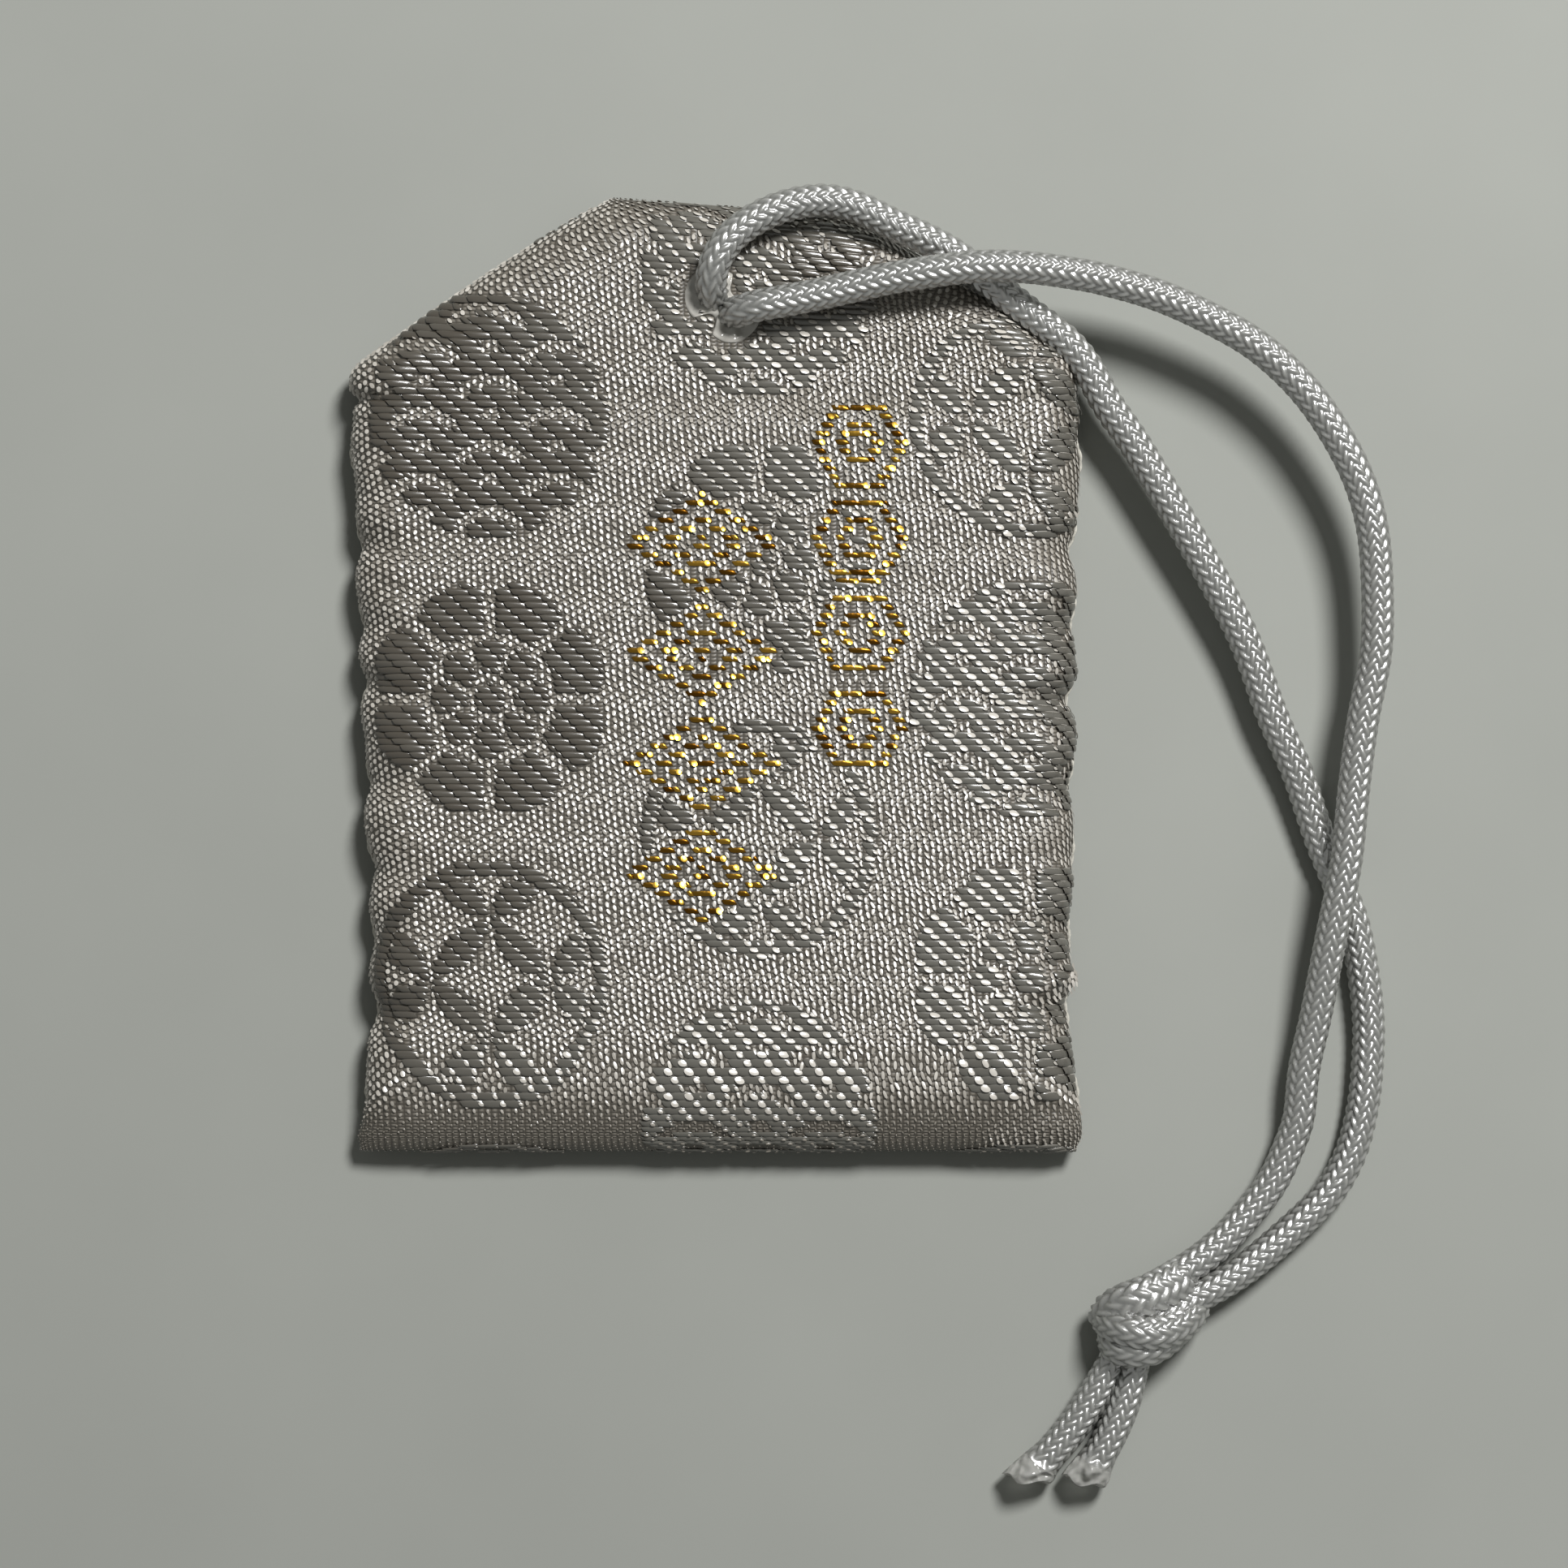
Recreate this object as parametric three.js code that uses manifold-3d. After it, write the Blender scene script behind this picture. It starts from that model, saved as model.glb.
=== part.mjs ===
// Omamori charm: a flat brocade pouch lying on its back, with a paper pack inside and a knotted cord.
// Millimetres, +Z up. The front of the pouch faces up, +Y points to its top edge.
// The origin is on the table, under the middle of the pouch.

import * as THREE from 'three';
import { mergeVertices } from 'three/addons/utils/BufferGeometryUtils.js';
import Module from 'manifold-3d';

// Pouch outline
const POUCH_WIDTH = 50;
const POUCH_HEIGHT = 66;
const TOP_EDGE_WIDTH = 17.6;
const SHOULDER_DROP = 11.8;
const LEFT_SIDE_DRAW = 2.2;
const RIGHT_SIDE_DRAW = 0.9;
const CORNER_FLARE = 5;

// Pouch section
const CLOTH = 0.5;
const LINING = 0.2;
const LAY_GAP = 0.1;
const FRONT_LINING_GAP = 0.25;
const PACK_SLACK = 0.25;
const CROWN = 0.5;
const SIDE_EDGE_ROUND = 2.6;
const BOTTOM_EDGE_ROUND = 3;
const TOP_EDGE_ROUND = 6;
const BACK_EDGE_ROUND = 1.2;
const LINING_INSET = 3;
const CREASE_LENGTH = 3;

// Side seams
const SEAM_HEIGHT = 1.6;
const SEAM_THREAD = 0.3;
const SEAM_CLEARANCE = 0.1;
const STITCH_PITCH = 5.5;
const STITCH_SWAY = 0.08;
const SEAM_END_MARGIN = 1.5;

// Turned-in top corners
const CORNER_TUCK_INSET = 3.6;

// Paper pack
const PACK_SIDE_MARGIN = 4;
const PACK_BOTTOM_MARGIN = 3;
const PACK_TOP_MARGIN = 4.2;
const SLEEVE_WALL = 0.2;
const CARD = 0.8;
const CARD_MARGIN = 1;
const SLIP_PAPER = 0.2;
const SLIP_FOLD_GAP = 0.12;
const SLIP_WIDTH = 20;
const SLIP_HEIGHT = 40;

// Cord
const CORD_DIAMETER = 2.2;
const CORD_SIDES = 8;
const CORD_GAP = 0.3;
const HOLE_CENTRE = new THREE.Vector2(0.4, 25.8);
const HOLE_CLEARANCE = 0.2;
const LINING_HOLE_STEP = 0.15;
const UPPER_EXIT = new THREE.Vector2(-0.5, 26.8);
const LOWER_EXIT = new THREE.Vector2(1.55, 24.9);
const BIGHT_TURN = new THREE.Vector2(0.3, 21.6);
const BIGHT_RADIUS = 1.6;
const KEEPER_THREAD = 0.5;
const STRAND_LEAD = 0.5;

// Knot and tails
const KNOT_CENTRE = new THREE.Vector2(29.6, -44.2);
const KNOT_HEADING = THREE.MathUtils.degToRad(226);
const KNOT_CORE = new THREE.Vector3(3.3, 2.9, 2.1);
const WRAP_THICKNESS = 2.3;
const WRAP_WIDTH = 4.7;
const WRAP_RISE = 2.9;
const KNOT_FLOOR_GAP = 0.1;
const TAIL_DIAMETER = 2.4;
const LEFT_TAIL_LENGTH = 10.8;
const RIGHT_TAIL_LENGTH = 8.8;
const TAIL_TIP_LENGTH = 1.2;
const TAIL_TIP_THICKNESS = 1.5;
const TAIL_GAP = 0.5;

// Derived levels, from the table up
const bottomY = -POUCH_HEIGHT / 2;
const topY = POUCH_HEIGHT / 2;
const shoulderY = topY - SHOULDER_DROP;
const backRim = SEAM_HEIGHT - SEAM_THREAD / 2 - SEAM_CLEARANCE;
const seamRim = SEAM_HEIGHT + SEAM_THREAD / 2 + SEAM_CLEARANCE;
const closedRim = backRim + LAY_GAP;
const backLiningBase = CLOTH + LAY_GAP;
const insideFloor = backLiningBase + LINING + LAY_GAP;
const slipThickness = 2 * SLIP_PAPER + SLIP_FOLD_GAP;
const packThickness = 2 * SLEEVE_WALL + CARD + slipThickness + 3 * LAY_GAP;
const roof = LINING + FRONT_LINING_GAP + CLOTH;
const bodyHeight = insideFloor + packThickness + PACK_SLACK + roof;
const headHeight = insideFloor + CORD_DIAMETER + PACK_SLACK + roof;
const packWidth = POUCH_WIDTH - 2 * PACK_SIDE_MARGIN;
const packBottomY = bottomY + PACK_BOTTOM_MARGIN;
const packTopY = shoulderY - PACK_TOP_MARGIN;
const packHeight = packTopY - packBottomY;
const cordRadius = CORD_DIAMETER / 2;

const wasm = await Module();
wasm.setup();
const WELD_DISTANCE = 1e-4;

// Turns a closed geometry into a solid that can be joined and cut.
function toSolid(geometry) {
  const bare = geometry.clone();
  bare.deleteAttribute('normal');
  bare.deleteAttribute('uv');
  const merged = mergeVertices(bare, WELD_DISTANCE);
  const vertProperties = new Float32Array(merged.attributes.position.array);
  const triVerts = new Uint32Array(merged.index.array);
  return new wasm.Manifold(new wasm.Mesh({ numProp: 3, vertProperties, triVerts }));
}

// Turns a solid back into a geometry.
function toGeometry(solid) {
  const mesh = solid.getMesh();
  const geometry = new THREE.BufferGeometry();
  geometry.setAttribute('position', new THREE.BufferAttribute(mesh.vertProperties, 3));
  geometry.setIndex(new THREE.BufferAttribute(mesh.triVerts, 1));
  geometry.computeVertexNormals();
  return geometry;
}

// Height of a rounded edge: a quarter ellipse from 0 at the rim to 1 at the given distance.
function roundedEdge(distance, reach) {
  const left = 1 - THREE.MathUtils.clamp(distance / reach, 0, 1);
  return Math.sqrt(1 - left * left);
}

// Distance from the middle line to the left (-1) or right (+1) side edge at a height y below the shoulder.
function sideReach(y, side) {
  const draw = side < 0 ? LEFT_SIDE_DRAW : RIGHT_SIDE_DRAW;
  const above = THREE.MathUtils.clamp(y, bottomY, shoulderY) - bottomY;
  const flared = 1 - Math.exp(-above / CORNER_FLARE);
  const tapered = 1 - above / (shoulderY - bottomY);
  return POUCH_WIDTH / 2 - draw * flared * tapered;
}

// The shoulders slope from the side edge to the end of the top edge.
const shoulderRun = (POUCH_WIDTH - TOP_EDGE_WIDTH) / 2;
const shoulderSlant = Math.hypot(shoulderRun, SHOULDER_DROP);

// Distance from the middle line to the outline at height y, drawn in by an inset on every edge.
function outlineReach(y, side, inset) {
  const onSide = sideReach(y, side) - inset;
  const onShoulder = POUCH_WIDTH / 2 - ((y - shoulderY) / SHOULDER_DROP) * shoulderRun;
  const shoulderInset = (inset * shoulderSlant) / SHOULDER_DROP;
  return Math.min(onSide, onShoulder - shoulderInset);
}

// Rounded rise from the rim (0) to the full height (1) of a panel whose outline is drawn in by an inset.
function rimRise(x, y, inset, rounds) {
  let rise = roundedEdge(y - bottomY - inset, rounds.bottom) * roundedEdge(topY - inset - y, rounds.top);
  for (const side of [-1, 1]) {
    const toSide = sideReach(y, side) - inset - side * x;
    const toShoulder = POUCH_WIDTH / 2 - side * x - ((y - shoulderY) / SHOULDER_DROP) * shoulderRun;
    rise *= roundedEdge(toSide, rounds.side);
    rise *= roundedEdge((toShoulder * SHOULDER_DROP) / shoulderSlant - inset, rounds.top);
  }
  return rise;
}

const frontRounds = { side: SIDE_EDGE_ROUND, bottom: BOTTOM_EDGE_ROUND, top: TOP_EDGE_ROUND };
const backRounds = { side: BACK_EDGE_ROUND, bottom: BACK_EDGE_ROUND, top: BACK_EDGE_ROUND };

// Height of the front face: full over the paper pack, a little more over the cord, crowned in the middle.
function frontHeight(x, y) {
  const head = THREE.MathUtils.smoothstep(y, packTopY, packTopY + CREASE_LENGTH);
  const level = THREE.MathUtils.lerp(bodyHeight, headHeight, head);
  const swell = Math.cos((Math.PI * x) / POUCH_WIDTH) * Math.cos((Math.PI * y) / POUCH_HEIGHT);
  return level + CROWN * (1 - head) * Math.max(swell, 0);
}

// Rim of the front panel: it meets the back at the bottom fold and the mouth.
// Along the sides it leaves room for the seam thread.
function frontRim(y) {
  const aboveFold = THREE.MathUtils.smoothstep(y, bottomY, bottomY + SEAM_END_MARGIN / 2);
  const belowMouth = THREE.MathUtils.smoothstep(shoulderY - y, 0, SEAM_END_MARGIN / 2);
  return THREE.MathUtils.lerp(closedRim, seamRim, aboveFold * belowMouth);
}

// Front panel surface at a depth below the front face.
function frontSurface(x, y, depth, inset) {
  const rim = frontRim(y);
  return rim + (frontHeight(x, y) - depth - rim) * rimRise(x, y, inset, frontRounds);
}

// Back panel surface: flat on the table, curling up to the seam at its rim.
function backSurface(x, y, depth, inset) {
  return backRim + (depth - backRim) * rimRise(x, y, inset, backRounds);
}

// Spacing of a panel's grid: steps in from each rim over a span, then even.
// The flat back needs fewer columns.
const ROWS = { rim: [0, 0.15, 0.5, 1.2, 2.5, 4.2], span: 6.2, body: 7, head: 5 };
const FRONT_COLUMNS = { rim: [0, 0.15, 0.5, 1.2, 2.5, 4.2], span: 6.2, middle: 7 };
const BACK_COLUMNS = { rim: [0, 0.15, 0.5], span: 1.2, middle: 4 };

function evenly(first, last, count) {
  return Array.from({ length: count }, (_, i) => THREE.MathUtils.lerp(first, last, i / (count - 1)));
}

// Rows of a panel, from the bottom edge past the shoulder to the top edge.
function panelRows(inset) {
  const low = bottomY + inset;
  const high = topY - inset;
  return [
    ...ROWS.rim.map((step) => low + step),
    ...evenly(low + ROWS.span, shoulderY - SEAM_END_MARGIN, ROWS.body),
    ...evenly(shoulderY, high - ROWS.span, ROWS.head),
    ...ROWS.rim.toReversed().map((step) => high - step),
  ];
}

// Columns of one row. The rim steps draw together where the row is short.
function panelColumns(left, right, { rim, span, middle }) {
  const squeeze = Math.min(1, (right - left) / (3 * span));
  return [
    ...rim.map((step) => left + step * squeeze),
    ...evenly(left + span * squeeze, right - span * squeeze, middle),
    ...rim.toReversed().map((step) => right - step * squeeze),
  ];
}

// Grid of points on one face of a panel.
function panelGrid(height, inset, columns) {
  return panelRows(inset).map((y) => {
    const stations = panelColumns(-outlineReach(y, -1, inset), outlineReach(y, 1, inset), columns);
    return stations.map((x) => new THREE.Vector3(x, y, height(x, y)));
  });
}

// Closes an upper and a lower grid of the same size into one solid sheet.
function closedSheet(upper, lower) {
  const rows = upper.length;
  const columns = upper[0].length;
  const positions = [...upper.flat(), ...lower.flat()].flatMap((p) => [p.x, p.y, p.z]);
  const index = [];
  const top = (r, c) => r * columns + c;
  const under = (r, c) => (rows + r) * columns + c;
  const quad = (a, b, c, d) => index.push(a, b, c, a, c, d);
  for (let r = 0; r + 1 < rows; r += 1) {
    for (let c = 0; c + 1 < columns; c += 1) {
      quad(top(r, c), top(r, c + 1), top(r + 1, c + 1), top(r + 1, c));
      quad(under(r, c), under(r + 1, c), under(r + 1, c + 1), under(r, c + 1));
    }
    quad(top(r + 1, 0), under(r + 1, 0), under(r, 0), top(r, 0));
    quad(top(r, columns - 1), under(r, columns - 1), under(r + 1, columns - 1), top(r + 1, columns - 1));
  }
  for (let c = 0; c + 1 < columns; c += 1) {
    quad(top(0, c), under(0, c), under(0, c + 1), top(0, c + 1));
    quad(top(rows - 1, c + 1), under(rows - 1, c + 1), under(rows - 1, c), top(rows - 1, c));
  }
  const geometry = new THREE.BufferGeometry();
  geometry.setAttribute('position', new THREE.Float32BufferAttribute(positions, 3));
  geometry.setIndex(index);
  geometry.computeVertexNormals();
  return geometry;
}

// The punched hole leaves room for both strands of the cord and lets them turn in it.
const exitReach = Math.max(UPPER_EXIT.distanceTo(HOLE_CENTRE), LOWER_EXIT.distanceTo(HOLE_CENTRE));
const liningHoleRadius = exitReach + cordRadius + HOLE_CLEARANCE;
const HOLE_SEGMENTS = 20;
function punch(sheet, radius) {
  const bar = new THREE.CylinderGeometry(radius, radius, 2 * headHeight, HOLE_SEGMENTS);
  bar.rotateX(Math.PI / 2);
  bar.translate(HOLE_CENTRE.x, HOLE_CENTRE.y, headHeight);
  return toGeometry(toSolid(sheet).subtract(toSolid(bar)));
}

function frontCloth() {
  const face = panelGrid((x, y) => frontSurface(x, y, 0, 0), 0, FRONT_COLUMNS);
  const inside = panelGrid((x, y) => frontSurface(x, y, CLOTH, CLOTH), CLOTH, FRONT_COLUMNS);
  return punch(closedSheet(face, inside), liningHoleRadius + LINING_HOLE_STEP);
}

function backCloth() {
  const inside = panelGrid((x, y) => backSurface(x, y, CLOTH, CLOTH), CLOTH, BACK_COLUMNS);
  const face = panelGrid((x, y) => backSurface(x, y, 0, 0), 0, BACK_COLUMNS);
  return closedSheet(inside, face);
}

function frontLining() {
  const depth = CLOTH + FRONT_LINING_GAP;
  const face = panelGrid((x, y) => frontSurface(x, y, depth, CLOTH), LINING_INSET, FRONT_COLUMNS);
  const inside = panelGrid((x, y) => frontSurface(x, y, depth + LINING, CLOTH), LINING_INSET, FRONT_COLUMNS);
  return punch(closedSheet(face, inside), liningHoleRadius);
}

function backLining() {
  const face = panelGrid(() => backLiningBase + LINING, LINING_INSET, BACK_COLUMNS);
  const inside = panelGrid(() => backLiningBase, LINING_INSET, BACK_COLUMNS);
  return closedSheet(face, inside);
}

// A tube along a curve, with a flat face at each end.
function tube(curve, steps, radius, sides) {
  const section = new THREE.Shape();
  for (let i = 0; i < sides; i += 1) {
    const angle = (2 * Math.PI * i) / sides;
    section.lineTo(radius * Math.cos(angle), radius * Math.sin(angle));
  }
  return new THREE.ExtrudeGeometry(section, { steps, extrudePath: curve, bevelEnabled: false });
}

// Seam thread: it sways from side to side between the rims of the front and the back cloth.
const THREAD_SIDES = 6;
function seamThread(side) {
  const low = bottomY + SEAM_END_MARGIN;
  const high = shoulderY - SEAM_END_MARGIN;
  const stitches = Math.round((2 * (high - low)) / STITCH_PITCH);
  const route = [];
  for (let i = 0; i <= stitches; i += 1) {
    const y = THREE.MathUtils.lerp(low, high, i / stitches);
    const sway = i % 2 === 0 ? STITCH_SWAY : -STITCH_SWAY;
    const reach = sideReach(y, side) - CLOTH / 2 + sway;
    route.push(new THREE.Vector3(side * reach, y, SEAM_HEIGHT));
  }
  return tube(new THREE.CatmullRomCurve3(route), stitches, SEAM_THREAD / 2, THREAD_SIDES);
}

// A flat outline raised to a thickness, with its underside at a level.
function plate(outline, level, thickness) {
  const shape = new THREE.Shape(outline);
  const geometry = new THREE.ExtrudeGeometry(shape, { depth: thickness, bevelEnabled: false });
  geometry.translate(0, 0, level);
  return geometry;
}

// Turned-in corner: the corner above the shoulder, folded in along it and laid flat on the back lining.
function cornerTuck(side) {
  const low = new THREE.Vector2(POUCH_WIDTH / 2, shoulderY);
  const high = new THREE.Vector2(TOP_EDGE_WIDTH / 2, topY);
  const along = high.clone().sub(low).normalize();
  const corner = new THREE.Vector2(POUCH_WIDTH / 2, topY);
  const foot = low.clone().addScaledVector(along, corner.clone().sub(low).dot(along));
  const folded = foot.clone().multiplyScalar(2).sub(corner);
  const middle = low.clone().add(high).add(folded).divideScalar(3);
  const outline = [low, high, folded].map((point) => {
    const inward = middle.clone().sub(point).setLength(CORNER_TUCK_INSET);
    const drawn = point.clone().add(inward);
    return new THREE.Vector2(side * drawn.x, drawn.y);
  });
  return plate(outline, insideFloor, CLOTH);
}

// Paper pack: a sleeve round the stiffener card, with the folded slip on the card.
const packMiddleY = (packBottomY + packTopY) / 2;
const cardBase = insideFloor + SLEEVE_WALL + LAY_GAP;
const slipBase = cardBase + CARD + LAY_GAP;

// A section in the XZ plane carried along Y, centred on the paper pack.
function alongPack(section, length) {
  const geometry = new THREE.ExtrudeGeometry(section, { depth: length, bevelEnabled: false });
  geometry.rotateX(Math.PI / 2);
  geometry.translate(0, packMiddleY + length / 2, 0);
  return geometry;
}

function rectangle(left, right, low, high) {
  return [
    new THREE.Vector2(left, low),
    new THREE.Vector2(right, low),
    new THREE.Vector2(right, high),
    new THREE.Vector2(left, high),
  ];
}

function paperSleeve() {
  const half = packWidth / 2;
  const inner = half - SLEEVE_WALL;
  const top = insideFloor + packThickness;
  const section = new THREE.Shape(rectangle(-half, half, insideFloor, top));
  section.holes.push(new THREE.Path(rectangle(-inner, inner, insideFloor + SLEEVE_WALL, top - SLEEVE_WALL)));
  return alongPack(section, packHeight);
}

function stiffenerCard() {
  const half = packWidth / 2 - SLEEVE_WALL - CARD_MARGIN;
  const section = new THREE.Shape(rectangle(-half, half, cardBase, cardBase + CARD));
  return alongPack(section, packHeight - 2 * CARD_MARGIN);
}

// Prayer slip: one sheet folded in half on its left edge.
function prayerSlip() {
  const half = SLIP_WIDTH / 2;
  const top = slipBase + slipThickness;
  const section = new THREE.Shape([
    new THREE.Vector2(-half, slipBase),
    new THREE.Vector2(half, slipBase),
    new THREE.Vector2(half, slipBase + SLIP_PAPER),
    new THREE.Vector2(-half + SLIP_PAPER, slipBase + SLIP_PAPER),
    new THREE.Vector2(-half + SLIP_PAPER, top - SLIP_PAPER),
    new THREE.Vector2(half, top - SLIP_PAPER),
    new THREE.Vector2(half, top),
    new THREE.Vector2(-half, top),
  ]);
  return alongPack(section, SLIP_HEIGHT);
}

// Cord routes, each from the hole to the knot.
// The far stretches start past the crossing of the two legs at the shoulder.
const points = (list) => list.map(([x, y, z]) => new THREE.Vector3(x, y, z));
const holeStart = headHeight - CLOTH;

const UPPER_NEAR_ROUTE = points([
  [UPPER_EXIT.x, UPPER_EXIT.y, holeStart],
  [UPPER_EXIT.x, UPPER_EXIT.y, holeStart + STRAND_LEAD],
  [-0.4, 27.3, 5.3],
  [-0.1, 28.5, 5.8],
  [0.8, 29.8, 5.75],
  [2.1, 31.0, 5.65],
  [3.9, 32.0, 5.5],
  [5.8, 32.6, 5.3],
  [7.9, 32.8, 5.05],
  [10.0, 32.3, 4.75],
  [12.1, 31.3, 4.45],
  [14.9, 30.1, 4.1],
  [17.0, 28.9, 3.85],
]);
const UPPER_FAR_ROUTE = points([
  [17.25, 28.73, 3.82],
  [19.8, 26.7, 3.6],
  [21.9, 25.1, 3.4],
  [24.3, 23.3, 3.2],
  [25.9, 21.4, 3.0],
  [27.2, 19.0, 2.9],
  [29.1, 16.3, 2.75],
  [31.8, 11.8, 2.6],
  [34.4, 7.3, 2.35],
  [36.9, 2.5, 2.1],
  [38.8, -2.6, 1.8],
  [40.6, -6.6, 1.5],
  [42.2, -11.2, 1.25],
  [43.5, -14.4, 1.18],
  [44.7, -17.6, 1.16],
  [45.6, -23.4, 1.16],
  [45.5, -27.9, 1.16],
  [45.1, -30.7, 1.16],
  [44.3, -33.5, 1.16],
  [42.7, -36.2, 1.2],
  [40.0, -38.8, 1.35],
  [37.3, -41.0, 1.6],
  [35.1, -42.4, 1.85],
  [32.0, -43.9, 2.1],
]);
const LOWER_NEAR_ROUTE = points([
  [LOWER_EXIT.x, LOWER_EXIT.y, holeStart],
  [LOWER_EXIT.x, LOWER_EXIT.y, holeStart + STRAND_LEAD],
  [2.1, 25.05, 5.3],
  [3.2, 25.35, 5.75],
  [5.2, 25.8, 5.75],
  [8.4, 26.5, 5.85],
  [11.6, 27.2, 6.1],
  [12.9, 27.42, 6.2],
]);
const LOWER_FAR_ROUTE = points([
  [13.2, 27.46, 6.22],
  [15.5, 27.8, 6.4],
  [18.7, 28.1, 6.4],
  [21.9, 28.0, 6.1],
  [25.2, 27.6, 5.6],
  [26.8, 27.3, 5.4],
  [30.7, 26.2, 5.1],
  [34.7, 24.4, 4.9],
  [37.7, 22.6, 4.8],
  [40.6, 19.9, 4.7],
  [42.9, 16.7, 4.6],
  [44.6, 13.3, 4.5],
  [45.5, 9.8, 4.45],
  [45.8, 5.5, 4.35],
  [45.7, 1.5, 4.25],
  [44.9, -2.6, 4.1],
  [44.3, -7.1, 3.95],
  [43.8, -12.2, 3.8],
  [43.4, -14.6, 3.72],
  [42.7, -18.2, 3.4],
  [41.8, -23.4, 2.6],
  [41.0, -27.3, 2.1],
  [40.7, -30.7, 1.75],
  [40.0, -32.8, 1.55],
  [38.9, -35.2, 1.45],
  [37.2, -37.4, 1.5],
  [35.4, -39.3, 1.75],
  [33.3, -40.9, 2.1],
  [30.6, -42.4, 2.5],
]);
const UPPER_NEAR_STEPS = 12;
const LOWER_NEAR_STEPS = 8;
const FAR_STEPS = 20;
const BIGHT_STEPS = 20;

// Hidden bight: both strands drop through the hole, lie on the back lining and turn round the keeper stitch.
function cordBight() {
  const level = insideFloor + cordRadius;
  const start = holeStart - CORD_GAP;
  const bend = start - STRAND_LEAD - level;
  const halfBend = bend * (1 - Math.SQRT1_2);
  const left = BIGHT_TURN.x - BIGHT_RADIUS;
  const right = BIGHT_TURN.x + BIGHT_RADIUS;
  const diagonal = BIGHT_RADIUS * Math.SQRT1_2;
  const route = points([
    [UPPER_EXIT.x, UPPER_EXIT.y, start],
    [UPPER_EXIT.x, UPPER_EXIT.y, start - STRAND_LEAD],
    [UPPER_EXIT.x, UPPER_EXIT.y - halfBend, level + halfBend],
    [UPPER_EXIT.x, UPPER_EXIT.y - bend, level],
    [left, BIGHT_TURN.y + BIGHT_RADIUS, level],
    [left, BIGHT_TURN.y, level],
    [BIGHT_TURN.x - diagonal, BIGHT_TURN.y - diagonal, level],
    [BIGHT_TURN.x, BIGHT_TURN.y - BIGHT_RADIUS, level],
    [BIGHT_TURN.x + diagonal, BIGHT_TURN.y - diagonal, level],
    [right, BIGHT_TURN.y, level],
    [LOWER_EXIT.x, LOWER_EXIT.y - bend, level],
    [LOWER_EXIT.x, LOWER_EXIT.y - halfBend, level + halfBend],
    [LOWER_EXIT.x, LOWER_EXIT.y, start - STRAND_LEAD],
    [LOWER_EXIT.x, LOWER_EXIT.y, start],
  ]);
  return tube(new THREE.CatmullRomCurve3(route), BIGHT_STEPS, cordRadius, CORD_SIDES);
}

// Keeper stitch: a thread post between the two linings, inside the turn of the bight.
function keeperStitch() {
  const low = insideFloor;
  const high = frontSurface(BIGHT_TURN.x, BIGHT_TURN.y, roof + LAY_GAP, CLOTH);
  const radius = KEEPER_THREAD / 2;
  const post = new THREE.CylinderGeometry(radius, radius, high - low, CORD_SIDES);
  post.rotateX(Math.PI / 2);
  post.translate(BIGHT_TURN.x, BIGHT_TURN.y, (low + high) / 2);
  return post;
}

// Knot: a core inside three wraps of the doubled cord, seated just above the table.
// Growing it gives the room that the legs and the tails are trimmed by.
const WRAPS = [
  { shift: -1.75, tilt: 24 },
  { shift: 0.25, tilt: -6 },
  { shift: 2.05, tilt: 4 },
];
const WRAP_RINGS = 20;
const RING_SECTION = 0.5;
const knotLevel = (WRAP_RISE + WRAP_THICKNESS) / 2 + KNOT_FLOOR_GAP;
function knotSolid(grow) {
  const place = new THREE.Matrix4().makeRotationZ(KNOT_HEADING);
  const core = new THREE.SphereGeometry(1, WRAP_RINGS, WRAP_RINGS / 2);
  core.rotateX(Math.PI / 2);
  core.scale(KNOT_CORE.x + grow, KNOT_CORE.y + grow, KNOT_CORE.z + grow);
  let solid = toSolid(core);
  for (const { shift, tilt } of WRAPS) {
    const ring = new THREE.TorusGeometry(1, RING_SECTION, CORD_SIDES, WRAP_RINGS);
    const half = WRAP_THICKNESS / 2 + grow;
    const positions = ring.attributes.position;
    for (let i = 0; i < positions.count; i += 1) {
      const angle = Math.atan2(positions.getY(i), positions.getX(i));
      const out = Math.hypot(positions.getX(i), positions.getY(i)) - 1;
      const thick = (half * out) / RING_SECTION;
      const wide = (half * positions.getZ(i)) / RING_SECTION;
      const y = (WRAP_WIDTH / 2 + thick) * Math.cos(angle);
      const z = (WRAP_RISE / 2 + thick) * Math.sin(angle);
      positions.setXYZ(i, wide, y, z);
    }
    ring.rotateZ(THREE.MathUtils.degToRad(tilt));
    ring.translate(shift, 0, 0);
    solid = solid.add(toSolid(ring));
  }
  const geometry = toGeometry(solid);
  geometry.applyMatrix4(place);
  geometry.translate(KNOT_CENTRE.x, KNOT_CENTRE.y, knotLevel);
  return toSolid(geometry);
}

const knot = knotSolid(0);
const knotRoom = knotSolid(CORD_GAP);

// A leg of the cord, trimmed where it goes into the knot.
function cordLeg(route, steps) {
  const leg = tube(new THREE.CatmullRomCurve3(route), steps, cordRadius, CORD_SIDES);
  return toGeometry(toSolid(leg).subtract(knotRoom));
}

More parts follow.
